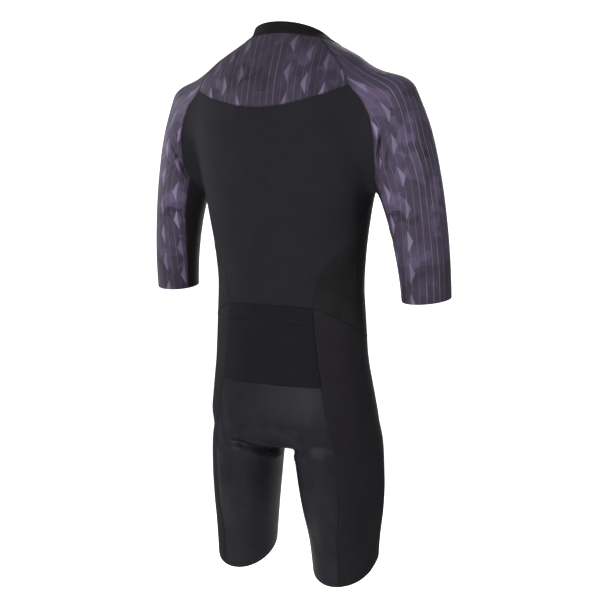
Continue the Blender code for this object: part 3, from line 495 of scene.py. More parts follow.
def leg_inner(rows, way, v):
    """Centre seam to the crotch, then the inseam to the hem."""
    v = np.asarray(v, float)
    low = [(CROTCH_ROW, *centre(rows, way, [CROTCH_ROW])[0]), *INSEAM]
    return np.where(v[:, None] <= CROTCH_ROW, centre(rows, way, np.minimum(v, CROTCH_ROW)),
                    seam(low, v))


# ---- sheets of cloth
def sheet(start, axes, edge_a, edge_b, shares, top=None, fade=1, bend=1.0, wrap=False):
    """Grid of points on the form. Each row is cast from its own start, in directions that
    turn evenly from edge a to edge b; `axes` holds the directions of angle 0, angle 90 and
    the row's axis; `top` is a given first row, let go over the next `fade` rows."""
    e, f, n = axes
    shares = np.asarray(shares, float)

    def polar(p, i):
        q = p - start[i][..., None, :]
        x, y, z = [(q * k[i][..., None, :]).sum(-1) for k in (e, f, n)]
        a = np.arctan2(y, x)
        return np.where(a < WRAP_FROM, a + 2 * np.pi, a) if wrap else a, z / np.hypot(x, y)

    every = slice(None)
    turn, lift = polar(np.stack([edge_a, edge_b], 1), every)
    turn = turn[:, :1] + (turn[:, 1:] - turn[:, :1]) * shares
    if bend == "crown":
        s = 2 * shares - 1
        lift = lift[:, :1] * np.clip(-s, 0, 1) ** 2 + lift[:, 1:] * np.clip(s, 0, 1) ** 2
    else:
        lift = lift[:, :1] + (lift[:, 1:] - lift[:, :1]) * shares**bend
    if top is not None:
        first, high = polar(top, 0)
        w = np.clip(1 - np.arange(len(turn)) / fade, 0, 1)[:, None]
        turn, lift = turn + w * (first - turn[0]), lift + w * (high - lift[0])
    turn, lift = turn[..., None], lift[..., None]
    way = e[:, None] * np.cos(turn) + f[:, None] * np.sin(turn) + n[:, None] * lift
    grid = cast(start[:, None], way)
    grid[:, 0], grid[:, -1] = edge_a, edge_b
    if top is not None:
        grid[0] = top
    return grid


def rows_frame(tilt):
    """Directions back, left and down of a row tilted about the X axis."""
    t = np.asarray(tilt, float)
    o = 0 * t
    return (np.stack([o, np.cos(t), np.sin(t)], 1), np.stack([o + 1, o, o], 1),
            np.stack([o, np.sin(t), -np.cos(t)], 1))


def neck_tilt(v):
    return np.arctan(NECK_BASE[1] * np.clip(1 - np.asarray(v, float), 0, 1))


def row_start(middle, v, way):
    """Start of each row's rays on the body's axis, level with the row's middle point."""
    start = middle * (0, 0, 1)
    start[:, 2] -= way * np.tan(neck_tilt(v)) * np.abs(middle[:, 1])
    return start


def back_grid(v, shares):
    a = centre(CENTRE_BACK, 1, v)
    start = row_start(a, v, 1)
    return sheet(start, rows_frame(neck_tilt(v)), a, back_edge(v), shares, bend=BACK_BEND)


def front_grid(v, shares):
    a = centre(CENTRE_FRONT, -1, v)
    start = row_start(a, v, -1)
    rise = np.tan(neck_tilt(v))
    a = cast(start + (ZIP_HALF, 0, 0), np.stack([0 * rise, 0 * rise - 1, -rise], 1))
    return sheet(start, rows_frame(neck_tilt(v)), a, front_edge(v), shares)


def arm_rows(w, drop=0.0):
    """Arm axis at share w of the way from the armpit to the cuff."""
    return arm_frame(ARM_AT_ARMPIT + (CUFF - ARM_AT_ARMPIT) * (drop + (1 - drop) * w))


def gusset_edges(w):
    """Back and front edge of the gusset at share w of the way from armpit to cuff."""
    c, _, inwards, back = arm_rows(w, GUSSET_DROP)
    edges = []
    for front, deg in enumerate(table(GUSSET, w).T):
        a = np.radians(deg)[:, None]
        p = cast(c, -inwards * np.cos(a) + back * np.sin(a))
        k = np.clip(1 - w / GUSSET_FADE, 0, 1)[:, None]
        edges.append(on_form(p + k * (raglan(front, [RAGLAN_END]) - p[:1])))
    return edges


def sleeve_grid(v, w, shares):
    """Upper sleeve: rows v from the collar to the armpit, then rows w down to the cuff."""
    v = np.asarray(v, float)
    x, y, z, rise = table(SLEEVE_ROWS, v).T
    rise = np.radians(rise)
    t = neck_tilt(v)
    e = np.stack([np.cos(rise), 0 * rise, np.sin(rise)], 1)
    f = np.stack([0 * t, np.cos(t), np.sin(t)], 1)
    c, _, inwards, back = arm_rows(w)
    k = np.clip(1 - w / SLEEVE_FADE, 0, 1)[:, None]
    c = c + k * (np.stack([x, y, z], 1)[-1] - c)
    ee = unit(-inwards + k * (e[-1] + inwards))
    start = np.vstack([np.stack([x, y, z], 1), c[1:]])
    e, f = np.vstack([e, ee[1:]]), np.vstack([f, unit(np.cross(np.cross(ee, back), ee))[1:]])
    low = gusset_edges(w)
    a = np.vstack([raglan(0, v), low[0][1:]])
    b = np.vstack([raglan(1, v), low[1][1:]])
    return sheet(start, (e, f, np.cross(e, f)), a, b, shares, bend="crown")


def gusset_grid(w, shares):
    c, along, inwards, back = arm_rows(w, GUSSET_DROP)
    shares = np.asarray(shares)
    v = RAGLAN_END + 2 * shares[shares < 0.5]
    top = np.vstack([raglan(0, v), [ARMPIT], raglan(1, v)[::-1]])
    a, b = gusset_edges(w)
    return sheet(c, (inwards, -back, along), a, b, shares, top=top, fade=len(w) * GUSSET_TOP_FADE)


def leg_frame(v):
    x, y, z, tilt = table(LEG_ROWS, v).T
    return np.stack([x, y, z], 1), rows_frame(-np.radians(tilt))


def leg_back_grid(v, shares):
    start, axes = leg_frame(v)
    return sheet(start, axes, leg_inner(CENTRE_BACK, 1, v), seam(SIDE_BACK, v), shares)


def leg_side_grid(v, shares, top):
    start, axes = leg_frame(v)
    return sheet(start, axes, seam(SIDE_BACK, v), seam_from(top[-1], SIDE_FRONT, v), shares, top,
                 LEG_TOP_FADE)


def leg_front_grid(v, shares, top):
    start, axes = leg_frame(v)
    return sheet(start, axes, seam_from(top[0], SIDE_FRONT, v), leg_inner(CENTRE_FRONT, -1, v),
                 shares, top, LEG_TOP_FADE, wrap=True)


def seam_from(first, rows, v):
    return seam([(rows[0][0], *first), *rows[1:]], v)


def mesh_grid(v, shares):
    """Side mesh panel between the back's edge and the side seam."""
    v = np.asarray(v, float)
    a = back_edge(v)
    b = side_seam(mesh_side(v))
    start = np.stack([0 * v, 0 * v, (a[:, 2] + b[:, 2]) / 2], 1)
    return sheet(start, rows_frame(0 * v), a, b, shares)


ARMPIT = cast(ARMPIT_RAY, (0, 0, -1))


def even(n):
    return np.linspace(0, 1, n + 1)


# ---- finer grids
def finer(rows, k):
    """The stations of a list, with k - 1 more between each two."""
    at = np.linspace(0, len(rows) - 1, (len(rows) - 1) * k + 1)
    return np.interp(at, range(len(rows)), rows)


def both(grid):
    """A grid from the middle outwards, joined to its mirror image: right edge to left edge."""
    return np.concatenate([(grid * MIRROR)[:, ::-1], grid[:, 1:]], 1)


def eased(grid, times):
    """The grid with its inner points drawn towards their neighbours, so that no rows cross."""
    grid = grid.copy()
    for k in range(times):
        near = grid[:-2, 1:-1] + grid[2:, 1:-1] + grid[1:-1, :-2] + grid[1:-1, 2:]
        grid[1:-1, 1:-1] = (near + 4 * grid[1:-1, 1:-1]) / 8
        if k % REFIT == REFIT - 1:
            inner = grid[1:-1, 1:-1]
            grid[1:-1, 1:-1] = on_form(inner.reshape(-1, 3)).reshape(inner.shape)
    return grid


@lru_cache(maxsize=None)
def cut():
    """Every piece of cloth as a grid of points on the form, left side or whole."""
    down, over = ROWS_PER_CELL, COLUMNS_PER_CELL
    g = {}
    w = finer(even(ARM_ROWS) ** ARM_SPREAD, down)
    upper = YOKE_ROWS + [v for v in CHEST_ROWS[1:] if v <= RAGLAN_END]
    chest, lower = finer(CHEST_ROWS, down), finer(MESH_ROWS + HIP_ROWS[1:], down)
    hips, shorts = finer(HIP_ROWS, down), finer(SHORTS_ROWS, down)
    mesh_rows = finer(MESH_ROWS, down)

    yoke = back_grid(finer(YOKE_ROWS, down), even(BACK_COLUMNS * over))
    back = back_grid(np.concatenate([chest, lower]), even(BACK_COLUMNS * over))
    across = even(SLEEVE_COLUMNS * over * 2)
    across -= EDGE_CROWD * np.sin(2 * np.pi * across) / (2 * np.pi)
    sleeve = sleeve_grid(finer(upper, down), w, across)
    g["sleeve"] = eased(sleeve, EASED)
    g["under_sleeve"] = gusset_grid(w, even(GUSSET_COLUMNS * over))
    front_rows = np.concatenate([finer(YOKE_ROWS, down), chest[1:], mesh_side(mesh_rows)[1:]])
    front = front_grid(front_rows, even((FRONT_COLUMNS + HIP_COLUMNS - 1) * over))
    g["front"] = eased(front, EASED)
    g["side_mesh"] = mesh_grid(mesh_rows, even(MESH_COLUMNS * over))
    g["yoke"], g["back"] = both(yoke), eased(both(back), EASED)

    waist = front[-1][::-1]
    hip_top = np.vstack([g["side_mesh"][-1], waist[1:HIP_COLUMNS * over + 1]])
    gap = even(over)[1:, None] * (-ZIP_HALF, 0, 0) + (ZIP_HALF, 0, waist[-1, 2])
    front_top = np.vstack([waist[HIP_COLUMNS * over:], cast(gap, np.array((0, -1.0, 0)))])
    legs = np.concatenate([hips, shorts[1:]])
    side_columns, front_columns = (MESH_COLUMNS + HIP_COLUMNS) * over, FRONT_COLUMNS * over
    g["leg_side"] = eased(leg_side_grid(legs, even(side_columns), hip_top), SIDE_EASED)
    g["leg_front"] = eased(leg_front_grid(legs, even(front_columns), front_top), EASED)
    g["leg_back"] = eased(leg_back_grid(shorts, even(BACK_COLUMNS * over)), EASED)

    base = np.vstack([yoke[0], sleeve[0][1:], front[0][::-1][1:]])
    turn = np.degrees(np.arctan2(base[:, 0], base[:, 1]))
    collar = [base]
    for k in even(COLLAR_ROWS)[1:]:
        high = [a + (b - a) * k for a, b in zip(NECK_BASE, COLLAR_TOP)]
        row = ring(turn, *high)
        row[-1] = cast((ZIP_HALF, 0, high[0]), (0, -1, -high[1]))
        collar.append(row)
    collar = np.array(collar[::-1])
    g["collar"] = both(collar)

    edge = np.vstack([collar[:-1, -1], front[:, 0]])
    fall = np.zeros(len(edge))
    fall[:len(collar)] = np.linspace(COLLAR_TOP[1], NECK_BASE[1], len(collar))
    tape = [cast((x, 0, p[2] - p[1] * s), (0, -1, -s))
            for x in even(TAPE_COLUMNS) * ZIP_HALF for p, s in zip(edge, fall)]
    tape = np.array(tape).reshape(TAPE_COLUMNS + 1, len(edge), 3)
    g["zip_tape"] = np.transpose(tape, (1, 0, 2))
    g["back_pocket"] = g["back"][len(chest) + len(mesh_rows) - 1:]
    return g


def lengths(grid, axis):
    """Running length of cloth along the rows' columns (axis 1) or down the columns (axis 0)."""
    step = np.linalg.norm(np.diff(grid, axis=axis), axis=2)
    pad = [(1, 0), (0, 0)] if axis == 0 else [(0, 0), (1, 0)]
    return np.pad(np.cumsum(step, axis), pad)


def running(line):
    """Running length along a line of points."""
    return np.concatenate([[0], np.cumsum(np.linalg.norm(np.diff(line, axis=0), axis=1))])


def along_line(line, run, at):
    """Points of a line at these running lengths."""
    return np.stack([np.interp(at, run, line[:, k]) for k in range(3)], 1)


# ---- folds and relief
@lru_cache(maxsize=None)
def fold_frames():
    """Each fold as its side, ends, outward direction, lean, width and depth."""
    frames = []
    for *ends, bow, width, depth in FOLDS:
        a, b = on_form(np.array(ends, float).reshape(2, 3) / MM)
        up = unit(gradient(((a + b) / 2)[None]))[0]
        lean = unit(np.cross(up, b - a)) * bow / MM
        side = "left" if ends[0] > 0 else "right"
        frames.append((side, a, b - a, up, lean, width / MM, depth / MM))
    return frames


def fold_height(p, n, side):
    """Height of the listed folds at points p with normals n, on one side of the suit."""
    if side == "whole":
        return np.where(p[:, 0] > 0, fold_height(p, n, "left"), fold_height(p, n, "right"))
    total = np.zeros(len(p))
    for where, a, chord, up, lean, width, depth in fold_frames():
        if where != side:
            continue
        reach = np.linalg.norm(chord) / 2 + FOLD_SPREAD * width
        close = np.linalg.norm(p - a - chord / 2, axis=1) < reach
        q = p[close] - a
        t = np.clip(q @ chord / (chord @ chord), 0, 1)
        q = q - t[:, None] * chord - (4 * t * (1 - t))[:, None] * lean
        off = q @ up
        d = np.linalg.norm(q - off[:, None] * up, axis=1) / width
        near = np.clip(1.5 - np.abs(off) / FOLD_REACH, 0, 1)
        near = near * np.clip(n[close] @ up / FOLD_FACING, 0, 1)
        shape = -np.exp(-d * d) + RIDGE * np.exp(-((d - RIDGE_AT) ** 2))
        total[close] += near * shape * np.sin(np.pi * t) ** FOLD_TAPER * depth
    return total * bpy.context.scene.suit_cloth.folds


@lru_cache(maxsize=None)
def pad_line():
    """Centre line of the seat pad, from the seat over the crotch to the front."""
    behind = centre(CENTRE_BACK, 1, np.linspace(PAD_FROM, CROTCH_ROW, PAD_POINTS[0]))
    before = centre(CENTRE_FRONT, -1, np.linspace(CROTCH_ROW, PAD_TO, PAD_POINTS[1]))[1:]
    line = np.vstack([behind, before])
    return line, running(line)


def pad_height(p):
    """How far the seat pad and the puckers of its stitching push the shorts out."""
    line, run = pad_line()
    gap = np.linalg.norm(p[:, None, 1:] - line[None, :, 1:], axis=2)
    at = run[gap.argmin(1)]
    half = np.interp(at * MM, *PAD_SEWN.T) / MM
    edge = np.abs(p[:, 0]) - half
    slope = np.gradient(np.interp(run * MM, *PAD_SEWN.T) / MM, run)
    edge /= np.sqrt(1 + np.interp(at, run, slope) ** 2)
    edge = np.maximum(edge, at - run[-1])
    inside = 1 / (1 + np.exp(edge / PAD_SLOPE))
    near = np.exp(-((edge / PAD_SEW) ** 2))
    pucker = np.cos(np.pi * (at + np.abs(p[:, 0])) / PAD_STEP)
    pucker = pucker * np.exp(-((edge / (3 * PAD_SEW)) ** 2))
    body = np.clip((PAD_REACH - gap.min(1)) / PAD_FADE, 0, 1)
    rise = bpy.context.scene.suit_cloth.pad_rise
    return body * (rise * inside - PAD_DITCH * near + PAD_PUCKER * pucker)


def pad_edge():
    """Left half of the line that sews the seat pad to the shorts, from its top to the front."""
    line, run = pad_line()
    start, bend, end = PAD_LINE
    at = np.concatenate([np.linspace(start, bend, SEW_POINTS[0]),
                         np.linspace(bend, end, SEW_POINTS[1])[1:]])
    half = np.interp(at * MM, *PAD_SEWN.T) / MM
    return on_form(along_line(line, run, at) + half[:, None] * (1, 0, 0))


# ---- meshes
def new_object(name, mesh, material):
    mesh.materials.append(material)
    obj = bpy.data.objects.new(name, mesh)
    bpy.context.scene.collection.objects.link(obj)
    return obj


def mesh_from(name, points, faces, uv=None):
    mesh = bpy.data.meshes.new(name)
    mesh.from_pydata(np.asarray(points).tolist(), [], np.asarray(faces).tolist())
    mesh.polygons.foreach_set("use_smooth", [True] * len(mesh.polygons))
    if uv is not None:
        layer = mesh.uv_layers.new(name="cloth")
        index = np.zeros(len(mesh.loops), int)
        mesh.loops.foreach_get("vertex_index", index)
        layer.data.foreach_set("uv", np.asarray(uv)[index].ravel())
    mesh.update()
    return mesh


def with_edges(grid, reach):
    """The grid with one more line close inside each of its borders, to round the edge."""
    for _ in range(2):
        for back in (False, True):
            g = grid[::-1] if back else grid
            step = g[1] - g[0]
            size = np.maximum(np.linalg.norm(step, axis=1, keepdims=True), 1e-6)
            line = g[0] + step * np.minimum(reach / size, 0.5)
            g = np.concatenate([g[:1], line[None], g[1:]])
            grid = g[::-1] if back else g
        grid = np.transpose(grid, (1, 0, 2))
    return grid


def shell(name, grid, material, wall, side, lift=0.0, relief=None, origin=(0, 0), calm=0):
    """Closed thin shell of cloth on the form: outer face, inner face and rounded rims. `calm`
    evens the run of the print down the cloth, so many times."""
    rows, cols = grid.shape[:2]
    u = lengths(grid, 1)
    u -= u[:, int(origin[1] * (cols - 1)), None]
    v = lengths(grid, 0)
    v -= v[int(origin[0] * (rows - 1)), None]
    for _ in range(calm):
        u[1:-1] = (u[:-2] + 2 * u[1:-1] + u[2:]) / 4
    full = np.dstack([grid, u, v, np.broadcast_to(lift, (rows, cols)),
                      np.broadcast_to(wall, (rows, cols))])
    full = with_edges(full, EDGE)
    grid, uv = full[..., :3], full[..., 3:5].reshape(-1, 2)
    rise, wall = full[..., 5].ravel(), full[..., 6].ravel()
    rows, cols = grid.shape[:2]
    p = grid.reshape(-1, 3)
    n = unit(gradient(p))
    rise = rise + fold_height(p, n, side)
    if relief:
        rise = rise + relief(p)
    rim = np.zeros((rows, cols))
    rim[[0, -1]], rim[:, [0, -1]] = EDGE_DROP, EDGE_DROP
    rim = rim.ravel()
    outer, inner = p + n * (rise - rim)[:, None], p + n * (rise - wall + rim)[:, None]
    count = rows * cols
    ids = np.arange(count).reshape(rows, cols)
    quads = np.stack([ids[:-1, :-1], ids[:-1, 1:], ids[1:, 1:], ids[1:, :-1]], -1).reshape(-1, 4)
    a, b, c, d = [p[quads[:, k]] for k in range(4)]
    if (np.cross(c - a, d - b) * n[quads[:, 0]]).sum() < 0:
        quads = quads[:, ::-1]
    border = np.concatenate([ids[0], ids[1:, -1], ids[-1, -2::-1], ids[-2:0:-1, 0]])
    nxt = np.roll(border, -1)
    rims = np.stack([border, nxt, nxt + count, border + count], 1)
    q = quads[np.flatnonzero((quads == border[0]).any(1) & (quads == nxt[0]).any(1))[0]].tolist()
    if q[(q.index(border[0]) + 1) % 4] == nxt[0]:
        rims = rims[:, ::-1]
    faces = np.vstack([quads, quads[:, ::-1] + count, rims])
    mesh = mesh_from(name, np.vstack([outer, inner]), faces, np.vstack([uv, uv]))
    obj = new_object(name, mesh, material)
    obj["worn_area"] = float(cloth_area(grid))
    obj["worn_size"] = [float(lengths(grid, 1)[:, -1].max()), float(lengths(grid, 0)[-1].max())]
    return obj


def cloth_area(grid):
    a, b, c, d = grid[:-1, :-1], grid[:-1, 1:], grid[1:, 1:], grid[1:, :-1]
    return 0.5 * np.linalg.norm(np.cross(c - a, d - b), axis=2).sum()


def dress(obj, nodes):
    """The piece rides on the garment and stands for its CAD nodes."""
    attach(obj, "garment")
    if nodes:
        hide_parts(*nodes)


def lay(kind, material, slot, wall=None, **options):
    """The left and the right piece of one kind, laid on the form and dressed."""
    for side, grid in sides(kind):
        piece = shell(f"{kind}_{side}_cloth", grid, material,
                      wall or bpy.context.scene.suit_cloth.wall, side, **options)
        dress(piece, [f"{kind}_{side}"])


def zip_frame(out=0.0, height=SLIDER_AT):
    """World matrix on the zip: x across, y up the zip, z outwards, `out` off its face."""
    high, low = [cast((0, 0, height + z), (0, -1, 0)) for z in ZIP_CHORD]
    x, y = np.array((1.0, 0, 0)), unit(high - low)
    z = np.cross(x, y)
    at = cast((0, 0, height), (0, -1, 0)) + z * out
    return Matrix(np.vstack([np.column_stack([x, y, z, at]), (0, 0, 0, 1)]))


def plate(name, outlines, thick, bevel, matrix, material):
    """Flat plate cut to its outlines, holes among them, with rounded edges."""
    curve = bpy.data.curves.new(name, "CURVE")
    curve.dimensions, curve.fill_mode = "2D", "BOTH"
    curve.extrude, curve.bevel_depth, curve.offset = thick / 2 - bevel, bevel, -bevel
    curve.bevel_resolution = 2
    for outline in outlines:
        spline = curve.splines.new("POLY")
        spline.points.add(len(outline) - 1)
        for point, (x, y) in zip(spline.points, outline):
            point.co = (x, y, 0, 1)
        spline.use_cyclic_u = True
    shape = bpy.data.objects.new(name + "_outline", curve)
    mesh = bpy.data.meshes.new_from_object(shape)
    bpy.data.objects.remove(shape)
    bpy.data.curves.remove(curve)
    mesh.transform(matrix)
    mesh.materials.clear()
    return new_object(name, mesh, material)


def bridge_outlines(top):
    """Side view of the slider's bridge, and the eye in it; first along the zip, then out."""
    y, low, high = BRIDGE["length"] / 2, top - BRIDGE["sunk"], BRIDGE["height"]
    flat, corner = y * BRIDGE["top"], high * BRIDGE["corner"]
    outer = [(-y, low), (y, low), (y, corner), (flat, high), (-flat, high), (-y, corner)]
    e = EYE["size"] / 2
    eye = [(-e, EYE["out"] - e), (-e, EYE["out"] + e), (e, EYE["out"] + e), (e, EYE["out"] - e)]
    return [outer, eye]


def pull_outlines():
    """Outline of the pull tab and the window at its bar."""
    w, bar, foot = PULL["width"] / 2, PULL["bar"] / 2, -PULL["bar"] / 2 - PULL["window"]
    end = bar - PULL["length"]
    arc = np.radians(np.arange(180, 361, ROUND_STEP))
    outer = [(-w, bar)] + [(w * np.cos(a), end + w + w * np.sin(a)) for a in arc] + [(w, bar)]
    inner = [(x * (w - PULL["side"]), y) for x, y in ((-1, -bar), (1, -bar), (1, foot), (-1, foot))]
    return [outer, inner]


def sides(kind):
    """The piece for the left and, mirrored, for the right of the wearer."""
    grid = cut()[kind]
    return (("left", grid), ("right", grid * MIRROR))


def seam_groups():
    """Every sewn line: name of the group, its material slot, and lines with their side."""
    g = cut()
    flat, leg = dict(half=SEAM_HALF), dict(half=SEAM_HALF, legs=True)
    one = dict(half=0.0, rows=(0.0,), loops=False)
    fine = dict(one, lift=FINE_SUNK, legs=True)
    tack = dict(half=PAD_STITCH, legs=True, rows=(), step=PAD_STEP)
    bag = dict(half=NEEDLE_HALF, loops=False, lift=BAG_LIFT)
    hem = dict(bag, lift=HEM_LIFT)
    quilt = pad_edge()
    waist = np.vstack([g["leg_side"][0], g["leg_front"][0][1:]])
    tip = ROWS_PER_CELL * (len(YOKE_ROWS) - 1 + CHEST_ROWS.index(ARMPIT_ROW))
    torso = [(g["yoke"][-1], "whole", flat), (g["collar"][-1], "whole", flat)]
    sleeves, legs, zips = [], [], []
    for side, way in (("left", 1), ("right", -1)):
        turn = MIRROR if way < 0 else np.ones(3)
        for group, rows in (
                (torso, ((g["front"][tip:, -1], flat), (g["side_mesh"][:, 0], flat),
                         (waist, flat))),
                (sleeves, ((g["sleeve"][:, 0], flat), (g["sleeve"][:, -1], flat),
                           (g["under_sleeve"][0], flat))),
                (legs, ((g["leg_side"][:, 0], leg), (g["leg_side"][:, -1], leg),
                        (g["leg_back"][:, 0], fine), (g["leg_back"][0], leg), (quilt, tack)))):
            group.extend((line * turn, side, options) for line, options in rows)
        zips += [(g["front"][:, 0] * turn + (way * ZIP_ROWS[0], 0, 0), side, one),
                 (g["zip_tape"][:, 0] + (way * ZIP_ROWS[1], 0, 0), side, one)]
    pocket = g["back_pocket"]
    mid = pocket.shape[1] // 2
    pockets = [(pocket[POCKET_BAND:, mid], "whole", bag), (pocket[POCKET_BAND - 1], "whole", hem)]
    return [("torso", "body_knit", torso), ("sleeves", "printed_knit", sleeves),
            ("shorts", "shorts_knit", legs), ("zip", "zip_tape", zips),
            ("pocket", "pocket_mesh", pockets)]


# ---- threads
def tube(path, normals, radius, sides=3):
    """Points and faces of a thin round thread along a path."""
    along = unit(np.gradient(path, axis=0))
    across = unit(np.cross(along, normals))
    up = np.cross(across, along)
    a = 2 * np.pi * np.arange(sides) / sides
    ring = np.cos(a)[None, :, None] * up[:, None] + np.sin(a)[None, :, None] * across[:, None]
    points = (path[:, None] + radius * ring).reshape(-1, 3)
    i, k = np.arange(len(path) - 1)[:, None] * sides, np.arange(sides)[None]
    j = (k + 1) % sides
    faces = np.stack([i + k, i + j, i + sides + j, i + sides + k], -1).reshape(-1, 4)
    return points, faces


def merged(parts):
    """One list of points and faces from many."""
    points, faces, count = [], [], 0
    for p, f in parts:
        points.append(p)
        faces.append(f + count)
        count += len(p)
    return np.vstack(points), np.vstack(faces)


def even_steps(line, step):
    """The line as points an even step apart, a whole number of steps in all."""
    run = running(line)
    count = max(int(round(run[-1] / step)), 2)
    return along_line(line, run, np.linspace(0, run[-1], count + 1))


def stitched(line, side, half, lift=0.0, legs=False, rows=(-1.0, 1.0), loops=True, step=STITCH):
    """Threads of a flat seam: needle rows along it and a looping thread to and fro over it."""
    line = on_form(even_steps(line, step / 2))
    n = unit(gradient(line))
    rise = fold_height(line, n, side) + lift + THREAD * THREAD_SEAT
    if legs:
        rise = rise + pad_height(line)
    along = unit(np.gradient(line, axis=0))
    across = np.cross(along, n)
    middle = line + n * rise[:, None]
    under = (np.arange(len(line)) % 2)[:, None]
    dip = -THREAD_DIP * THREAD * under
    parts = [tube(middle + across * half * row + n * dip, n, THREAD / 2) for row in rows]
    if loops:
        swing = np.where(under, 1.0, -1.0)
        parts.append(tube(middle + across * half * swing, n, THREAD * LOOP_THREAD))
    return parts


# ---- node materials
def linear(code):
    """Linear colour from an sRGB hex value."""
    c = np.array([int(code[k:k + 2], 16) for k in (1, 3, 5)]) / 255
    c = np.where(c <= 0.04045, c / 12.92, ((c + 0.055) / 1.055) ** 2.4)
    return (*c.tolist(), 1.0)


def add_node(tree, kind, inputs=None, **settings):
    """Adds a node; `inputs` maps a socket's number or name to a value, a socket or a node."""
    made = tree.nodes.new("ShaderNode" + kind)
    for name, value in settings.items():
        setattr(made, name, value)
    for key, value in (inputs or {}).items():
        socket = made.inputs[key]
        if isinstance(value, bpy.types.Node):
            value = value.outputs[0]
        if isinstance(value, bpy.types.NodeSocket):
            tree.links.new(value, socket)
        else:
            socket.default_value = value
    return made


def new_material(name, finish):
    """A material with one Principled shader whose own sockets hold the finish."""
    material = bpy.data.materials.new(name)
    material.use_nodes = True
    shader = material.node_tree.nodes["Principled BSDF"]
    for socket, value in finish.items():
        shader.inputs[socket].default_value = value
    return material, material.node_tree, shader


def connect(tree, shader, sockets):
    """Links sockets of the shader, by name, to nodes or to their outputs."""
    for name, value in sockets.items():
        output = value.outputs[0] if isinstance(value, bpy.types.Node) else value
        tree.links.new(output, shader.inputs[name])


def cloth_place(tree):
    """Metres across and down the cloth, as two sockets."""
    uv = add_node(tree, "UVMap", uv_map="cloth")
    split = add_node(tree, "SeparateXYZ", {0: uv})
    return split.outputs["X"], split.outputs["Y"]


def knit_relief(tree, wale, course, lean):
    """Height of a warp knit: wales `wale` apart, stitches `course` long that lean to and fro."""
    u, v = cloth_place(tree)
    side = add_node(tree, "Math", {0: u, 1: wale / 2}, operation="PINGPONG")
    side = add_node(tree, "Math", {0: side, 1: 2 / wale}, operation="MULTIPLY")
    rib = add_node(tree, "Math", {0: side, 1: np.pi}, operation="MULTIPLY")
    rib = add_node(tree, "Math", {0: rib}, operation="SINE")
    turn = add_node(tree, "Math", {0: v, 1: 2 * np.pi / course}, operation="MULTIPLY")
    turn = add_node(tree, "Math", {0: side, 1: lean, 2: turn}, operation="MULTIPLY_ADD")
    loop = add_node(tree, "Math", {0: turn}, operation="SINE")
    return add_node(tree, "Math", {0: loop, 1: 0.35, 2: rib}, operation="MULTIPLY_ADD")


def mesh_relief(tree, pitch, rise):
    """Height of an open mesh: holes in staggered rows, `pitch` apart and `rise` down."""
    u, v = cloth_place(tree)
    a = add_node(tree, "Math", {0: u, 1: 2 * np.pi / pitch}, operation="MULTIPLY")
    b = add_node(tree, "Math", {0: v, 1: 2 * np.pi / rise}, operation="MULTIPLY")
    a = add_node(tree, "Math", {0: a}, operation="COSINE")
    b = add_node(tree, "Math", {0: b}, operation="COSINE")
    hole = add_node(tree, "Math", {0: a, 1: b}, operation="MULTIPLY")
    return add_node(tree, "MapRange", {0: hole, 1: 0.15, 2: 0.65, 3: 1.0, 4: 0.0},
                    interpolation_type="SMOOTHSTEP")


def twill_relief(tree, pick):
    """Height of a twill: slanting ribs, `pick` apart."""
    u, v = cloth_place(tree)
    slant = add_node(tree, "Math", {0: u, 1: v}, operation="ADD")
    rib = add_node(tree, "Math", {0: slant, 1: pick / 2}, operation="PINGPONG")
    return add_node(tree, "Math", {0: rib, 1: 2 / pick}, operation="MULTIPLY")


def clouds(tree, size, detail=3.0):
    """Soft uneven patches of about this size on the cloth."""
    place = add_node(tree, "TexCoord")
    return add_node(tree, "TexNoise", {"Vector": place.outputs["Object"], "Scale": 1 / size,
                                       "Detail": detail, "Roughness": 0.6})


def shade_cloth(tree, shader, deep, pale, height, strength, depth, shadow, cloud=0.045):
    """Colour between two tones by patches, with painted shade darkening the hollows of the knit,
    and its bump.
    """
    patch = clouds(tree, cloud)
    patch = add_node(tree, "MapRange", {0: patch, 1: 0.35, 2: 0.65},
                     interpolation_type="SMOOTHSTEP")
    tone = add_node(tree, "Mix", {0: patch, 6: deep, 7: pale}, data_type="RGBA")
    # painted shade: the colour is darkened in the hollows of the relief, down to `shadow`
    painted_hollow_shade = add_node(tree, "MapRange", {0: height, 1: 0.0, 2: 1.0, 3: shadow, 4: 1.0})
    lit = add_node(tree, "Mix", {0: 1.0, 6: tone.outputs[2], 7: painted_hollow_shade}, data_type="RGBA",
                   blend_type="MULTIPLY")
    bump = add_node(tree, "Bump", {"Strength": strength, "Distance": depth, "Height": height})
    connect(tree, shader, {"Base Color": lit.outputs[2], "Normal": bump})


CLOTH_SOCKETS = ("Roughness", "IOR", "Specular IOR Level", "Sheen Weight", "Sheen Roughness",
                 "Sheen Tint")
# Polyester and elastane warp knit, piece dyed and left matt: a fine dimpled face without
# gloss, so its folds show as slow changes of grey. Real wales are 0.5 mm apart; drawn at
# 1.1 mm so that they show.
BODY_KNIT = dict(finish=(0.80, 1.46, 0.08, 0.02, 0.45, linear("#8A8890")), relief=knit_relief,
                 sizes=(0.0011, 0.0014, 2.2), bump=(0.35, 0.0002, 0.72))
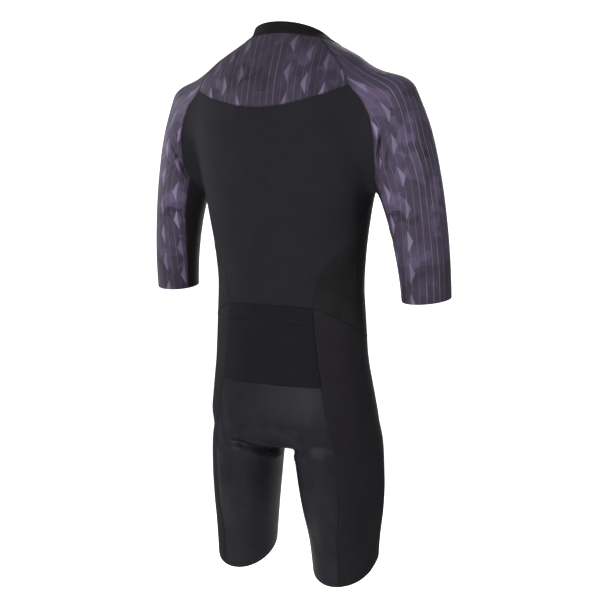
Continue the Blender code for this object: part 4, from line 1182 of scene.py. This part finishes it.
# Cloths of one colour. Finish: the sockets above; sizes: those of the relief; bump: strength,
# depth, tone of the painted shade in the hollows and, where it isn't the usual, size of the
# patches. Tones are the user's unless the row has its own.
CLOTHS = {
    "body": dict(BODY_KNIT, name="polyester warp knit, body"),
    "band": dict(BODY_KNIT, name="polyester warp knit, pocket_band"),
    "leg_side": dict(BODY_KNIT, name="polyester warp knit, leg_side"),
    "under_sleeve": dict(BODY_KNIT, name="polyester warp knit, under_sleeve"),
    # Compressive nylon and elastane warp knit, calendered: smooth, with a soft sheen that
    # brightens to a cool grey where the cloth turns away. Real wales are 0.4 mm apart; drawn
    # at 1.0 mm, with long stitches, as fine upright lines.
    "shorts": dict(name="nylon warp knit, calendered", relief=knit_relief,
                   finish=(0.42, 1.53, 0.075, 0.0, 0.35, linear("#9A9CA8")),
                   sizes=(0.0010, 0.0030, 1.2), bump=(0.30, 0.00018, 0.70, 0.06)),
    # Open polyester mesh, dyed black: a dark net of small staggered holes with no sheen.
    # Real holes are 1.2 mm apart; drawn at 2.2 mm so that they show.
    "mesh": dict(name="polyester open mesh, dyed black", relief=mesh_relief,
                 finish=(0.75, 1.46, 0.10, 0.02, 0.5, linear("#85858C")),
                 sizes=(0.0022, 0.0026), bump=(0.6, 0.0004, 0.35)),
    # Fine elastic net, dyed black: denser and flatter than the side mesh, and a shade darker
    # than the back it lies on. Real holes are 0.8 mm apart; drawn at 1.6 mm so that they show.
    "pocket": dict(name="elastic net, dyed black", relief=mesh_relief,
                   finish=(0.78, 1.46, 0.10, 0.02, 0.5, linear("#85858C")),
                   sizes=(0.0016, 0.0016), bump=(0.5, 0.0003, 0.55)),
    # Double-layer warp knit, dyed black and brushed inside: soft, matt and a little fuller
    # than the body knit. Real wales are 0.7 mm apart; drawn at 1.4 mm so that they show.
    "collar": dict(name="double warp knit, brushed", relief=knit_relief,
                   finish=(0.85, 1.46, 0.10, 0.02, 0.5, linear("#85858C")),
                   sizes=(0.0014, 0.0016, 2.0), bump=(0.35, 0.0002, 0.7)),
    # Brushed microfibre bonded to foam by heat: a soft grey nap with shallow moulded channels.
    "pad": dict(name="brushed microfibre over foam", relief=clouds,
                finish=(0.92, 1.46, 0.15, 0.35, 0.6, linear("#A0A0A8")), sizes=(0.0012, 5.0),
                bump=(0.4, 0.0004, 0.75, 0.02), tones=("#34343A", "#45454C")),
    # Polyester tape, woven in a fine twill and dyed black: flat and matt, with slanting ribs.
    # Real picks are 0.35 mm apart; drawn at 0.8 mm so that they show.
    "tape": dict(name="polyester twill tape, woven", relief=twill_relief,
                 finish=(0.78, 1.5, 0.08, 0.02, 0.5, linear("#FFFFFF")), sizes=(0.0008,),
                 bump=(0.5, 0.00025, 0.6), tones=("#131215", "#18171A")),
}


@lru_cache(maxsize=None)
def plain_cloth(part):
    """The material of one row of the table above."""
    row, colours = CLOTHS[part], bpy.context.scene.suit_colours
    material, tree, shader = new_material(row["name"], dict(zip(CLOTH_SOCKETS, row["finish"])))
    deep, pale = row.get("tones") or [getattr(colours, part + end) for end in ("_deep", "")]
    height = row["relief"](tree, *row["sizes"])
    shade_cloth(tree, shader, linear(deep), linear(pale), height, *row["bump"])
    return material


@lru_cache(maxsize=None)
def shorts_knit():
    """The calendered knit of the shorts, whose gloss varies a little from place to place."""
    material = plain_cloth("shorts")
    tree = material.node_tree
    gloss = add_node(tree, "MapRange", {0: clouds(tree, 0.05), 1: 0.3, 2: 0.7, 3: 0.40, 4: 0.44})
    connect(tree, tree.nodes["Principled BSDF"], {"Roughness": gloss})
    return material


@lru_cache(maxsize=None)
def coil_nylon():
    """Nylon monofilament, coiled and dyed black: smooth and slightly glossy."""
    material, tree, shader = new_material("nylon monofilament, coiled", {
        "Roughness": 0.32, "IOR": 1.53, "Specular IOR Level": 0.5})
    worn = clouds(tree, 0.004)
    tone = add_node(tree, "Mix", {0: worn, 6: linear("#151517"), 7: linear("#232327")},
                    data_type="RGBA")
    bump = add_node(tree, "Bump", {"Strength": 0.1, "Distance": 0.0001, "Height": worn})
    connect(tree, shader, {"Base Color": tone.outputs[2], "Normal": bump})
    return material


@lru_cache(maxsize=None)
def enamelled_zinc():
    """Zinc, die-cast and enamelled black: an even satin coat, thinner and a touch brighter on
    its edges."""
    material, tree, shader = new_material("die-cast zinc, black enamel", {
        "Roughness": 0.34, "Metallic": 0.0, "IOR": 1.5, "Coat Weight": 0.35,
        "Coat Roughness": 0.25})
    speck = clouds(tree, 0.0015, detail=5.0)
    edge = add_node(tree, "NewGeometry")
    edge = add_node(tree, "MapRange", {0: edge.outputs["Pointiness"], 1: 0.52, 2: 0.62})
    tone = add_node(tree, "Mix", {0: edge, 6: linear("#17171A"), 7: linear("#4A4A50")},
                    data_type="RGBA")
    rough = add_node(tree, "MapRange", {0: speck, 3: 0.28, 4: 0.42})
    bump = add_node(tree, "Bump", {"Strength": 0.08, "Distance": 0.0001, "Height": speck})
    connect(tree, shader, {"Base Color": tone.outputs[2], "Roughness": rough, "Normal": bump})
    return material


@lru_cache(maxsize=None)
def seam_thread(code):
    """Textured polyester thread, dyed: soft and matt, with a faint lustre."""
    material, tree, shader = new_material("textured polyester thread", {
        "Roughness": 0.6, "IOR": 1.5, "Specular IOR Level": 0.2, "Sheen Weight": 0.05,
        "Sheen Roughness": 0.4, "Sheen Tint": linear("#9A9AA2")})
    place = add_node(tree, "TexCoord")
    # real plies are 0.15 mm apart, too fine to show; soft bands 4 mm apart stand for them
    ply = add_node(tree, "TexWave", {"Vector": place.outputs["Object"], "Scale": 90.0,
                                     "Distortion": 4.0}, bands_direction="DIAGONAL")
    tone = add_node(tree, "Mix", {0: ply, 6: linear("#1A191C"), 7: linear(code)},
                    data_type="RGBA")
    bump = add_node(tree, "Bump", {"Strength": 0.3, "Distance": 0.0001, "Height": ply})
    connect(tree, shader, {"Base Color": tone.outputs[2], "Normal": bump})
    return material


@lru_cache(maxsize=None)
def printed_knit(motif_from, shade):
    """Polyester warp knit, sublimation printed: the ink lies in the yarn, so the print has the
    knit's own matt dimpled face. Pale pinstripes in the middle, columns of slender two-tone
    rhombs in half drop outside `motif_from`, over angular patches of plum grey."""
    material, tree, shader = new_material("polyester warp knit, sublimation printed", {
        "Roughness": 0.70, "IOR": 1.46, "Specular IOR Level": 0.18, "Sheen Weight": 0.06,
        "Sheen Roughness": 0.5, "Sheen Tint": linear("#9C94A8")})
    colours = bpy.context.scene.suit_colours
    sizes = bpy.context.scene.suit_print
    u, v = cloth_place(tree)

    # angular patches of tone, large ones under small ones
    place = add_node(tree, "CombineXYZ", {0: u, 1: v})
    value = None
    for pitch, kind in ((PATCH_LARGE, "MANHATTAN"), (PATCH_SMALL, "CHEBYCHEV")):
        block = add_node(tree, "TexVoronoi", {"Vector": place, "Scale": 1 / pitch,
                                              "Randomness": 1.0},
                         distance=kind, voronoi_dimensions="2D")
        tone = add_node(tree, "SeparateColor", {0: block.outputs["Color"]})
        value = tone if value is None else add_node(tree, "Mix", {0: 0.35, 2: value, 3: tone})
    ground = add_node(tree, "ValToRGB", {0: value})
    ramp = ground.color_ramp
    ends = ((0.12, colours.print_deep), (0.88, colours.print_pale))
    for stop, (at, code) in zip(ramp.elements, ends):
        stop.position, stop.color = at, linear(code)
    for at, code in ((0.40, colours.print_ground), (0.62, colours.print_cool)):
        ramp.elements.new(at).color = linear(code)
    soft = add_node(tree, "Mix", {0: 0.10, 6: ground.outputs[0], 7: linear(colours.print_ground)},
                    data_type="RGBA")

    # pinstripes, which come and go by blocks
    pitch, width = sizes.stripe_pitch, sizes.stripe_width
    off = add_node(tree, "Math", {0: u, 1: pitch / 2}, operation="PINGPONG")
    line = add_node(tree, "MapRange", {0: off, 1: width * 0.75, 2: width * 0.35},
                    interpolation_type="SMOOTHSTEP")
    cell_u = add_node(tree, "Math", {0: u, 1: pitch}, operation="SNAP")
    cell_v = add_node(tree, "Math", {0: v, 1: STRIPE_BLOCK}, operation="SNAP")
    cell = add_node(tree, "CombineXYZ", {0: cell_u, 1: cell_v})
    chance = add_node(tree, "TexWhiteNoise", {"Vector": cell}, noise_dimensions="3D")
    strong = add_node(tree, "MapRange", {0: chance.outputs["Value"], 1: 0.1, 2: 0.8, 3: 0.10,
                                         4: 0.62})
    line = add_node(tree, "Math", {0: line, 1: strong}, operation="MULTIPLY")

    # rhombs in half drop: columns counted outwards, rhombs counted down, and their two halves
    wide, high = sizes.motif_width, sizes.motif_height
    column, drop = sizes.motif_column, sizes.motif_drop
    sums = {"u": u, "v": v}
    for result, operation, *terms in (
            ("away", "ABSOLUTE", "u"),
            ("x", "SUBTRACT", "away", motif_from + column / 2),
            ("number", "DIVIDE", "x", column),
            ("number", "ROUND", "number"),
            ("local", "MULTIPLY_ADD", "number", -column, "x"),
            ("odd", "MULTIPLY", "number", drop / 2),
            ("y", "ADD", "v", "odd"),
            ("row", "MULTIPLY", "y", 1 / drop),
            ("row", "ROUND", "row"),
            ("y", "PINGPONG", "y", drop / 2),
            ("reach", "ABSOLUTE", "local"),
            ("reach", "MULTIPLY", "reach", 2 / wide),
            ("reach", "MULTIPLY_ADD", "y", 2 / high, "reach"),
            ("zone", "GREATER_THAN", "away", motif_from),
            ("half", "GREATER_THAN", "local", 0.0)):
        terms = {k: sums.get(term, term) for k, term in enumerate(terms)}
        sums[result] = add_node(tree, "Math", terms, operation=operation)
    rhomb = add_node(tree, "MapRange", {0: sums["reach"], 1: 1.03, 2: 0.97})
    tones = add_node(tree, "Mix", {0: sums["half"], 6: linear(colours.motif_pale),
                                   7: linear(colours.motif_deep)}, data_type="RGBA")
    here = add_node(tree, "CombineXYZ", {0: sums["number"], 1: sums["row"]})
    clear = add_node(tree, "TexWhiteNoise", {"Vector": here}, noise_dimensions="3D")
    clear = add_node(tree, "MapRange", {0: clear.outputs["Value"], 3: 0.40, 4: 0.95})
    for part in (sums["zone"], clear):
        rhomb = add_node(tree, "Math", {0: rhomb, 1: part}, operation="MULTIPLY")

    quiet = add_node(tree, "MapRange", {0: sums["zone"], 3: 1.0, 4: 0.45})
    line = add_node(tree, "Math", {0: line, 1: quiet}, operation="MULTIPLY")
    lined = add_node(tree, "Mix", {0: line, 6: soft.outputs[2], 7: linear(colours.stripe)},
                     data_type="RGBA")
    art = add_node(tree, "Mix", {0: rhomb, 6: lined.outputs[2], 7: tones.outputs[2]},
                   data_type="RGBA")

    height = knit_relief(tree, *BODY_KNIT["sizes"])
    # painted shade: the print is darkened in the hollows of the knit
    painted_hollow_shade = add_node(tree, "MapRange", {0: height, 1: 0.0, 2: 1.0, 3: 0.78, 4: 1.0})
    lit = add_node(tree, "Mix", {0: 1.0, 6: art.outputs[2], 7: painted_hollow_shade}, data_type="RGBA",
                   blend_type="MULTIPLY")
    # random patches of tone, scaled by `shade`: on the yoke that is painted shade, on the sleeves 1
    patch = add_node(tree, "MapRange", {0: clouds(tree, 0.05), 1: 0.3, 2: 0.7, 3: 0.80 * shade,
                                        4: 1.15 * shade})
    if motif_from == SLEEVE_MOTIFS_FROM:
        cuff = add_node(tree, "MapRange", {0: v, 1: -CUFF_BAND, 2: CUFF_SOFT - CUFF_BAND,
                                           3: 1.0, 4: CUFF_SHADE})
        patch = add_node(tree, "Math", {0: patch, 1: cuff}, operation="MULTIPLY")
    lit = add_node(tree, "Mix", {0: 1.0, 6: lit.outputs[2], 7: patch}, data_type="RGBA",
                   blend_type="MULTIPLY")
    bump = add_node(tree, "Bump", {"Strength": 0.35, "Distance": 0.0002, "Height": height})
    connect(tree, shader, {"Base Color": lit.outputs[2], "Normal": bump})
    return material


def paper(name, light):
    """Seamless background paper: matt, smooth and almost white; with `light` the part round the
    suit glows, painted light that is even far out and fades to a painted shadow near the suit."""
    material, tree, shader = new_material("background paper, " + name, {
        "Roughness": 0.95, "Specular IOR Level": 0.1, "Emission Strength": 0.0,
        "Emission Color": linear("#FFFFFF")})
    if light:
        place = add_node(tree, "TexCoord")
        level = add_node(tree, "VectorMath", {0: place.outputs["Object"], 1: (1, 1, 0)},
                         operation="MULTIPLY")
        away = add_node(tree, "VectorMath", {0: level}, operation="LENGTH")
        # painted glow: none at PAPER_FROM, full at PAPER_FULL, so a painted shadow lies round the
        # suit
        painted_glow = add_node(tree, "MapRange", {0: away.outputs["Value"], 1: PAPER_FROM, 2: PAPER_FULL,
                                           3: 0.0, 4: light}, interpolation_type="SMOOTHSTEP")
        connect(tree, shader, {"Emission Strength": painted_glow})
    fibre = clouds(tree, 0.4)
    tone = add_node(tree, "Mix", {0: fibre, 6: linear("#F8F8F8"), 7: linear("#FBFBFB")},
                    data_type="RGBA")
    connect(tree, shader, {"Base Color": tone.outputs[2]})
    return material


# ---- user's sizes and colours
def measure(name, description, default, **limits):
    """A length that the user can set."""
    return bpy.props.FloatProperty(name=name, description=description, default=default,
                                   unit="LENGTH", subtype="DISTANCE", precision=5, **limits)


class SuitCloth(bpy.types.PropertyGroup):
    wall: measure("Cloth thickness", "Wall of every cloth piece", 0.0009, min=0.0005, max=0.0016)
    folds: bpy.props.FloatProperty(
        name="Folds", description="Strength of the folds, 1 as laid by hand",
        default=1.0, min=0.0, max=2.0, subtype="FACTOR")
    pad_rise: measure("Pad relief", "How far the seat pad pushes the shorts out", 0.0012,
                      min=0.0, max=0.003)


class SuitPrint(bpy.types.PropertyGroup):
    stripe_pitch: measure("Stripe spacing", "From one pinstripe to the next", 0.0118)
    stripe_width: measure("Stripe width", "Width of a pinstripe", 0.0011)
    motif_width: measure("Motif width", "Width of a rhomb", 0.0180)
    motif_height: measure("Motif height", "Height of a rhomb", 0.0360)
    motif_column: measure("Column spacing", "From one column of rhombs to the next", 0.0320)
    motif_drop: measure("Motif spacing", "From one rhomb to the next in a column", 0.0520)


# cloths: label, tone and the tone of their deeper patches
TONES = {
    "body": ("Body knit", "#1B1A1E", "#19181C"),
    "shorts": ("Shorts knit", "#1D1C21", "#18171C"),
    "leg_side": ("Leg side knit", "#1B191C", "#19171A"),
    "mesh": ("Side mesh", "#191819", "#131213"),
    "pocket": ("Pocket mesh", "#110F12", "#0F0D10"),
    "band": ("Pocket band", "#131114", "#111013"),
    "collar": ("Collar knit", "#121113", "#0F0E10"),
    "under_sleeve": ("Under-sleeve knit", "#1B181B", "#171417"),
}
COLOURS = {}
for key, (label, pale, deep) in TONES.items():
    COLOURS[key] = (label, pale)
    COLOURS[key + "_deep"] = (label + ", deeper patches", deep)
COLOURS |= {
    "print_ground": ("Print ground", "#393140"),
    "print_deep": ("Print, dark blocks", "#231F2A"),
    "print_cool": ("Print, cool blocks", "#332F3F"),
    "print_pale": ("Print, pale blocks", "#4D4359"),
    "stripe": ("Pinstripes", "#7F768C"),
    "motif_pale": ("Motif, pale side", "#756B87"),
    "motif_deep": ("Motif, dark side", "#4A4256"),
    # the thread is given a lighter tone than the cloth it matches: painted light against the shade
    # on its round threads
    "thread": ("Thread", "#2A292D"),
    "pocket_thread": ("Pocket thread", "#19181A"),
}


class SuitColours(bpy.types.PropertyGroup):
    __annotations__ = {key: bpy.props.StringProperty(
        name=label, description=label + ", as an sRGB hex value", default=code)
        for key, (label, code) in COLOURS.items()}


# ---- pieces
class SUIT_OT_collar(bpy.types.Operator):
    """Lays the stand collar, a folded double layer with a rounded top edge"""
    bl_idname = "suit.collar"
    bl_label = "Collar"

    def execute(self, context):
        collar = shell("collar_cloth", cut()["collar"], plain_cloth("collar"), COLLAR_WALL, "whole")
        dress(collar, ["collar"])
        return {"FINISHED"}


class SUIT_OT_yoke(bpy.types.Operator):
    """Lays the printed back yoke"""
    bl_idname = "suit.yoke"
    bl_label = "Back yoke"

    def execute(self, context):
        yoke = shell("yoke_cloth", cut()["yoke"], printed_knit(YOKE_MOTIFS_FROM, YOKE_PAINTED_SHADE),
                     context.scene.suit_cloth.wall, "whole", origin=(1.0, 0.5))
        dress(yoke, ["yoke_back"])
        return {"FINISHED"}


class SUIT_OT_sleeves(bpy.types.Operator):
    """Lays the printed raglan sleeves and the plain gussets under the arms"""
    bl_idname = "suit.sleeves"
    bl_label = "Sleeves"

    def execute(self, context):
        lay("sleeve", printed_knit(SLEEVE_MOTIFS_FROM, 1.0), "printed_knit", origin=(1.0, 0.5),
            calm=CALM)
        lay("under_sleeve", plain_cloth("under_sleeve"), "body_knit")
        return {"FINISHED"}


class SUIT_OT_body(bpy.types.Operator):
    """Lays the back, the two fronts and the mesh panels at the waist"""
    bl_idname = "suit.body"
    bl_label = "Back, fronts and side mesh"

    def execute(self, context):
        back = shell("back_cloth", cut()["back"], plain_cloth("body"),
                     context.scene.suit_cloth.wall, "whole", origin=(0.0, 0.5))
        dress(back, ["back_panel"])
        lay("front", plain_cloth("body"), "body_knit")
        lay("side_mesh", plain_cloth("mesh"), "side_mesh")
        return {"FINISHED"}


class SUIT_OT_legs(bpy.types.Operator):
    """Lays the six panels of the shorts, pushed out a little by the seat pad behind them"""
    bl_idname = "suit.legs"
    bl_label = "Shorts"

    def execute(self, context):
        for kind in ("leg_back", "leg_side", "leg_front"):
            knit = plain_cloth("leg_side") if kind == "leg_side" else shorts_knit()
            lay(kind, knit, "shorts_knit", relief=pad_height)
        return {"FINISHED"}


class SUIT_OT_pocket(bpy.types.Operator):
    """Lays the low back pocket: two bags side by side under one bound mouth"""
    bl_idname = "suit.pocket"
    bl_label = "Back pocket"

    def execute(self, context):
        wall = context.scene.suit_cloth.wall
        grid = cut()["back_pocket"]
        down, over = np.meshgrid(even(grid.shape[0] - 1), even(grid.shape[1] - 1), indexing="ij")
        bag = np.abs(np.sin(2 * np.pi * over)) ** POCKET_SQUARE * (1 - down**3)
        rise = wall + SEAM / 2 + POCKET_FULL * bag
        pocket = shell("pocket_cloth", grid, plain_cloth("pocket"), wall * NET_WALL, "whole",
                       lift=rise, origin=(0.0, 0.5))
        dress(pocket, ["back_pocket"])
        rows = POCKET_BAND + 1
        band = shell("pocket_band", grid[:rows], plain_cloth("band"), wall * BAND_WALL, "whole",
                     lift=rise[:rows] + wall * BAND_LIFT)
        dress(band, [])
        return {"FINISHED"}


class SUIT_OT_seat_pad(bpy.types.Operator):
    """Lays the foam seat pad inside the shorts, with its moulded channels"""
    bl_idname = "suit.seat_pad"
    bl_label = "Seat pad"

    def execute(self, context):
        line, run = pad_line()
        at = np.linspace(run[0], run[-1], PAD_GRID[0] + 1)
        half = np.interp(at * MM, *PAD_WIDTH.T)[:, None] / MM
        across = np.linspace(-1, 1, PAD_GRID[1] + 1)
        grid = along_line(line, run, at)[:, None] + (half * across)[..., None] * (1, 0, 0)
        grid = on_form(grid.reshape(-1, 3)).reshape(grid.shape)
        end = np.minimum(at - at[0], at[-1] - at)[:, None] * MM
        edge = np.minimum((1 - np.abs(across)) * half * MM, end)
        full = np.clip(edge / PAD_BEVEL, 0, 1) ** 0.5
        channel = np.exp(-((np.abs(across) * half * MM - PAD_CHANNEL) / CHANNEL_HALF) ** 2)
        thick = PAD * (PAD_RIM + (1 - PAD_RIM) * full) * (1 - CHANNEL_DEPTH * channel)
        pad = shell("seat_pad_foam", grid, plain_cloth("pad"), thick, "whole", lift=-CLOTH - SEAM)
        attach(pad, "garment")
        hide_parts("seat_pad")
        return {"FINISHED"}


class SUIT_OT_zip(bpy.types.Operator):
    """Lays the front zip: two woven tapes, the closed nylon coil and its stops"""
    bl_idname = "suit.zip"
    bl_label = "Front zip"

    def execute(self, context):
        lay("zip_tape", plain_cloth("tape"), "zip_tape", wall=TAPE)
        line = even_steps(cut()["zip_tape"][:, 0], TOOTH / TOOTH_POINTS)
        line = line[TOOTH_POINTS:-TOOTH_POINTS]
        n = unit(gradient(line))
        turn = np.arange(len(line)) * 2 * np.pi / TOOTH_POINTS
        parts = []
        for side, phase in ((-1, turn + np.pi), (1, turn)):
            x = side * (COIL["middle"] + COIL["swing"] * np.cos(phase))
            high = COIL["height"] + COIL["rise"] * np.sin(phase)
            path = line + x[:, None] * np.array((1, 0, 0)) + n * high[:, None]
            parts.append(tube(path, n, COIL["wire"], WIRE_SIDES))
        coil = new_object("zip_coil", mesh_from("zip_coil", *merged(parts)), coil_nylon())
        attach(coil, "garment")
        thick = COIL["height"] + COIL["wire"] + STOP_PROUD
        for name, at in (("top", 0), ("bottom", -1)):
            matrix = zip_frame(height=line[at][2]) @ Matrix.Translation((0, 0, COIL["height"]))
            stop = plate(f"zip_stop_{name}", [STOP], thick, STOP_BEVEL, matrix, enamelled_zinc())
            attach(stop, "garment")
        return {"FINISHED"}


class SUIT_OT_slider(bpy.types.Operator):
    """Sets the zip's slider and its pull tab, which turns on the slider's eye"""
    bl_idname = "suit.slider"
    bl_label = "Slider and pull"

    def execute(self, context):
        low, top = SLIDER["off"], SLIDER["off"] + SLIDER["wall"]
        body = plate("slider_plate", [SLIDER_OUTLINE], SLIDER["wall"], SLIDER["bevel"],
                     zip_frame((low + top) / 2), enamelled_zinc())
        bridge = plate("slider_bridge", bridge_outlines(top), BRIDGE["width"], BRIDGE["bevel"],
                       zip_frame() @ SIDEWAYS, enamelled_zinc())
        for piece in (body, bridge):
            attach(piece, "garment")
            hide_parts("zip_slider")
        tab = plate("pull_tab", pull_outlines(), PULL["wall"], PULL["bevel"],
                    zip_frame(EYE["out"]), enamelled_zinc())
        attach(tab, "zip_pull")
        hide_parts("zip_pull")
        return {"FINISHED"}


class SUIT_OT_seams(bpy.types.Operator):
    """Sews the flat seams, the stitching of the seat pad and the pocket, and the zip's rows"""
    bl_idname = "suit.seams"
    bl_label = "Seams and stitching"

    def execute(self, context):
        colours = context.scene.suit_colours
        for name, slot, lines in seam_groups():
            parts = []
            for line, side, options in lines:
                parts += stitched(line, side, **options)
            # the main thread's lighter tone is painted light, set against the shade on the round
            # threads
            thread = seam_thread(colours.pocket_thread if name == "pocket" else colours.thread)
            sewn = new_object(f"seams_{name}", mesh_from(f"seams_{name}", *merged(parts)), thread)
            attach(sewn, "garment")
        return {"FINISHED"}


class SUIT_OT_stage(bpy.types.Operator):
    """Sets the paper floor, the paper wall that glows with painted light, the soft lamps and the
    camera
    """
    bl_idname = "suit.stage"
    bl_label = "Floor, light and camera"

    def execute(self, context):
        scene = context.scene
        scene.view_settings.view_transform = "Standard"
        world = bpy.data.worlds.new("studio_room")
        scene.world = world
        world.use_nodes = True
        room = world.node_tree.nodes["Background"]
        room.inputs["Color"].default_value = linear("#FFFFFF")
        room.inputs["Strength"].default_value = ROOM_LIGHT
        turn = np.radians(np.arange(0, 360, RING_STEP))
        ring = np.stack([np.cos(turn), np.sin(turn), 0 * turn], 1)
        floor = mesh_from("floor", ring * FLOOR_RADIUS + (0, 0, FLOOR), [np.arange(len(ring))])
        new_object("floor", floor, paper("floor", 0.0))
        bend = np.radians(np.arange(0, 91, BEND_STEP))
        out = PAPER_AWAY - PAPER_ROUND * (1 - np.sin(bend))
        out = np.concatenate([[PAPER_FROM], out, [PAPER_AWAY]])
        up = np.concatenate([[0], PAPER_ROUND * (1 - np.cos(bend)), [PAPER_TOP - FLOOR]])
        up = up + FLOOR + PAPER_OFF
        points = out[:, None, None] * ring + up[:, None, None] * (0, 0, 1)
        i, k = np.meshgrid(np.arange(len(out) - 1) * len(ring), np.arange(len(ring)), indexing="ij")
        j = (k + 1) % len(ring)
        faces = np.stack([i + k, i + len(ring) + k, i + len(ring) + j, i + j], -1).reshape(-1, 4)
        backdrop = mesh_from("backdrop", points.reshape(-1, 3), faces)
        backdrop = new_object("backdrop", backdrop, paper("backdrop", PAPER_PAINTED_GLOW))
        # flagged off from the suit, so that its painted glow doesn't rim the cloth
        backdrop.visible_diffuse = backdrop.visible_glossy = backdrop.visible_shadow = False
        for name, angle, height, distance, size, spread, power, aim_high in LIGHTS:
            a = np.radians(angle)
            lamp = bpy.data.lights.new(name, "AREA")
            lamp.shape, lamp.spread = "RECTANGLE", np.radians(spread)
            lamp.size, lamp.size_y = size
            lamp.energy = power
            obj = bpy.data.objects.new(name, lamp)
            obj.location = (distance * np.sin(a), -distance * np.cos(a), height)
            aim = Vector((0, 0, aim_high)) - obj.location
            obj.rotation_mode = "QUATERNION"
            obj.rotation_quaternion = aim.to_track_quat("-Z", "Y")
            scene.collection.objects.link(obj)
        view = bpy.data.cameras.new("camera")
        view.lens, view.sensor_width = LENS, SENSOR
        camera = bpy.data.objects.new("camera", view)
        a, b = np.radians(CAMERA_TURN), np.radians(CAMERA_FALL)
        ahead = Vector((np.sin(a) * np.cos(b), -np.cos(a) * np.cos(b), -np.sin(b)))
        camera.location = (-CAMERA_AWAY * np.sin(a) - CAMERA_ASIDE * np.cos(a),
                           CAMERA_AWAY * np.cos(a) - CAMERA_ASIDE * np.sin(a), CAMERA_HIGH)
        camera.rotation_mode = "QUATERNION"
        camera.rotation_quaternion = ahead.to_track_quat("-Z", "Y")
        scene.collection.objects.link(camera)
        scene.camera = camera
        return {"FINISHED"}


# ---- add-on
OPERATORS = (SUIT_OT_collar, SUIT_OT_yoke, SUIT_OT_sleeves, SUIT_OT_body, SUIT_OT_legs,
             SUIT_OT_pocket, SUIT_OT_seat_pad, SUIT_OT_zip, SUIT_OT_slider, SUIT_OT_seams,
             SUIT_OT_stage)


class SUIT_PT_panel(bpy.types.Panel):
    """Steps and settings of the suit"""
    bl_idname = "SUIT_PT_panel"
    bl_label = "Triathlon suit"
    bl_space_type = "VIEW_3D"
    bl_region_type = "UI"
    bl_category = "Triathlon suit"

    def draw(self, context):
        for name in GROUPS:
            group = getattr(context.scene, name)
            box = self.layout.box()
            for key in group.bl_rna.properties.keys():
                if key not in ("rna_type", "name"):
                    box.prop(group, key)
        for operator in OPERATORS:
            self.layout.operator(operator.bl_idname)


CLASSES = (SuitCloth, SuitPrint, SuitColours, *OPERATORS, SUIT_PT_panel)
GROUPS = {"suit_cloth": SuitCloth, "suit_print": SuitPrint, "suit_colours": SuitColours}


def register():
    for kind in CLASSES:
        bpy.utils.register_class(kind)
    for name, group in GROUPS.items():
        setattr(bpy.types.Scene, name, bpy.props.PointerProperty(type=group))


def unregister():
    for name in GROUPS:
        delattr(bpy.types.Scene, name)
    for kind in reversed(CLASSES):
        bpy.utils.unregister_class(kind)


def main():
    register()
    for operator in OPERATORS:
        getattr(bpy.ops.suit, operator.bl_idname.split(".")[1])()


if __name__ == "__main__":
    main()
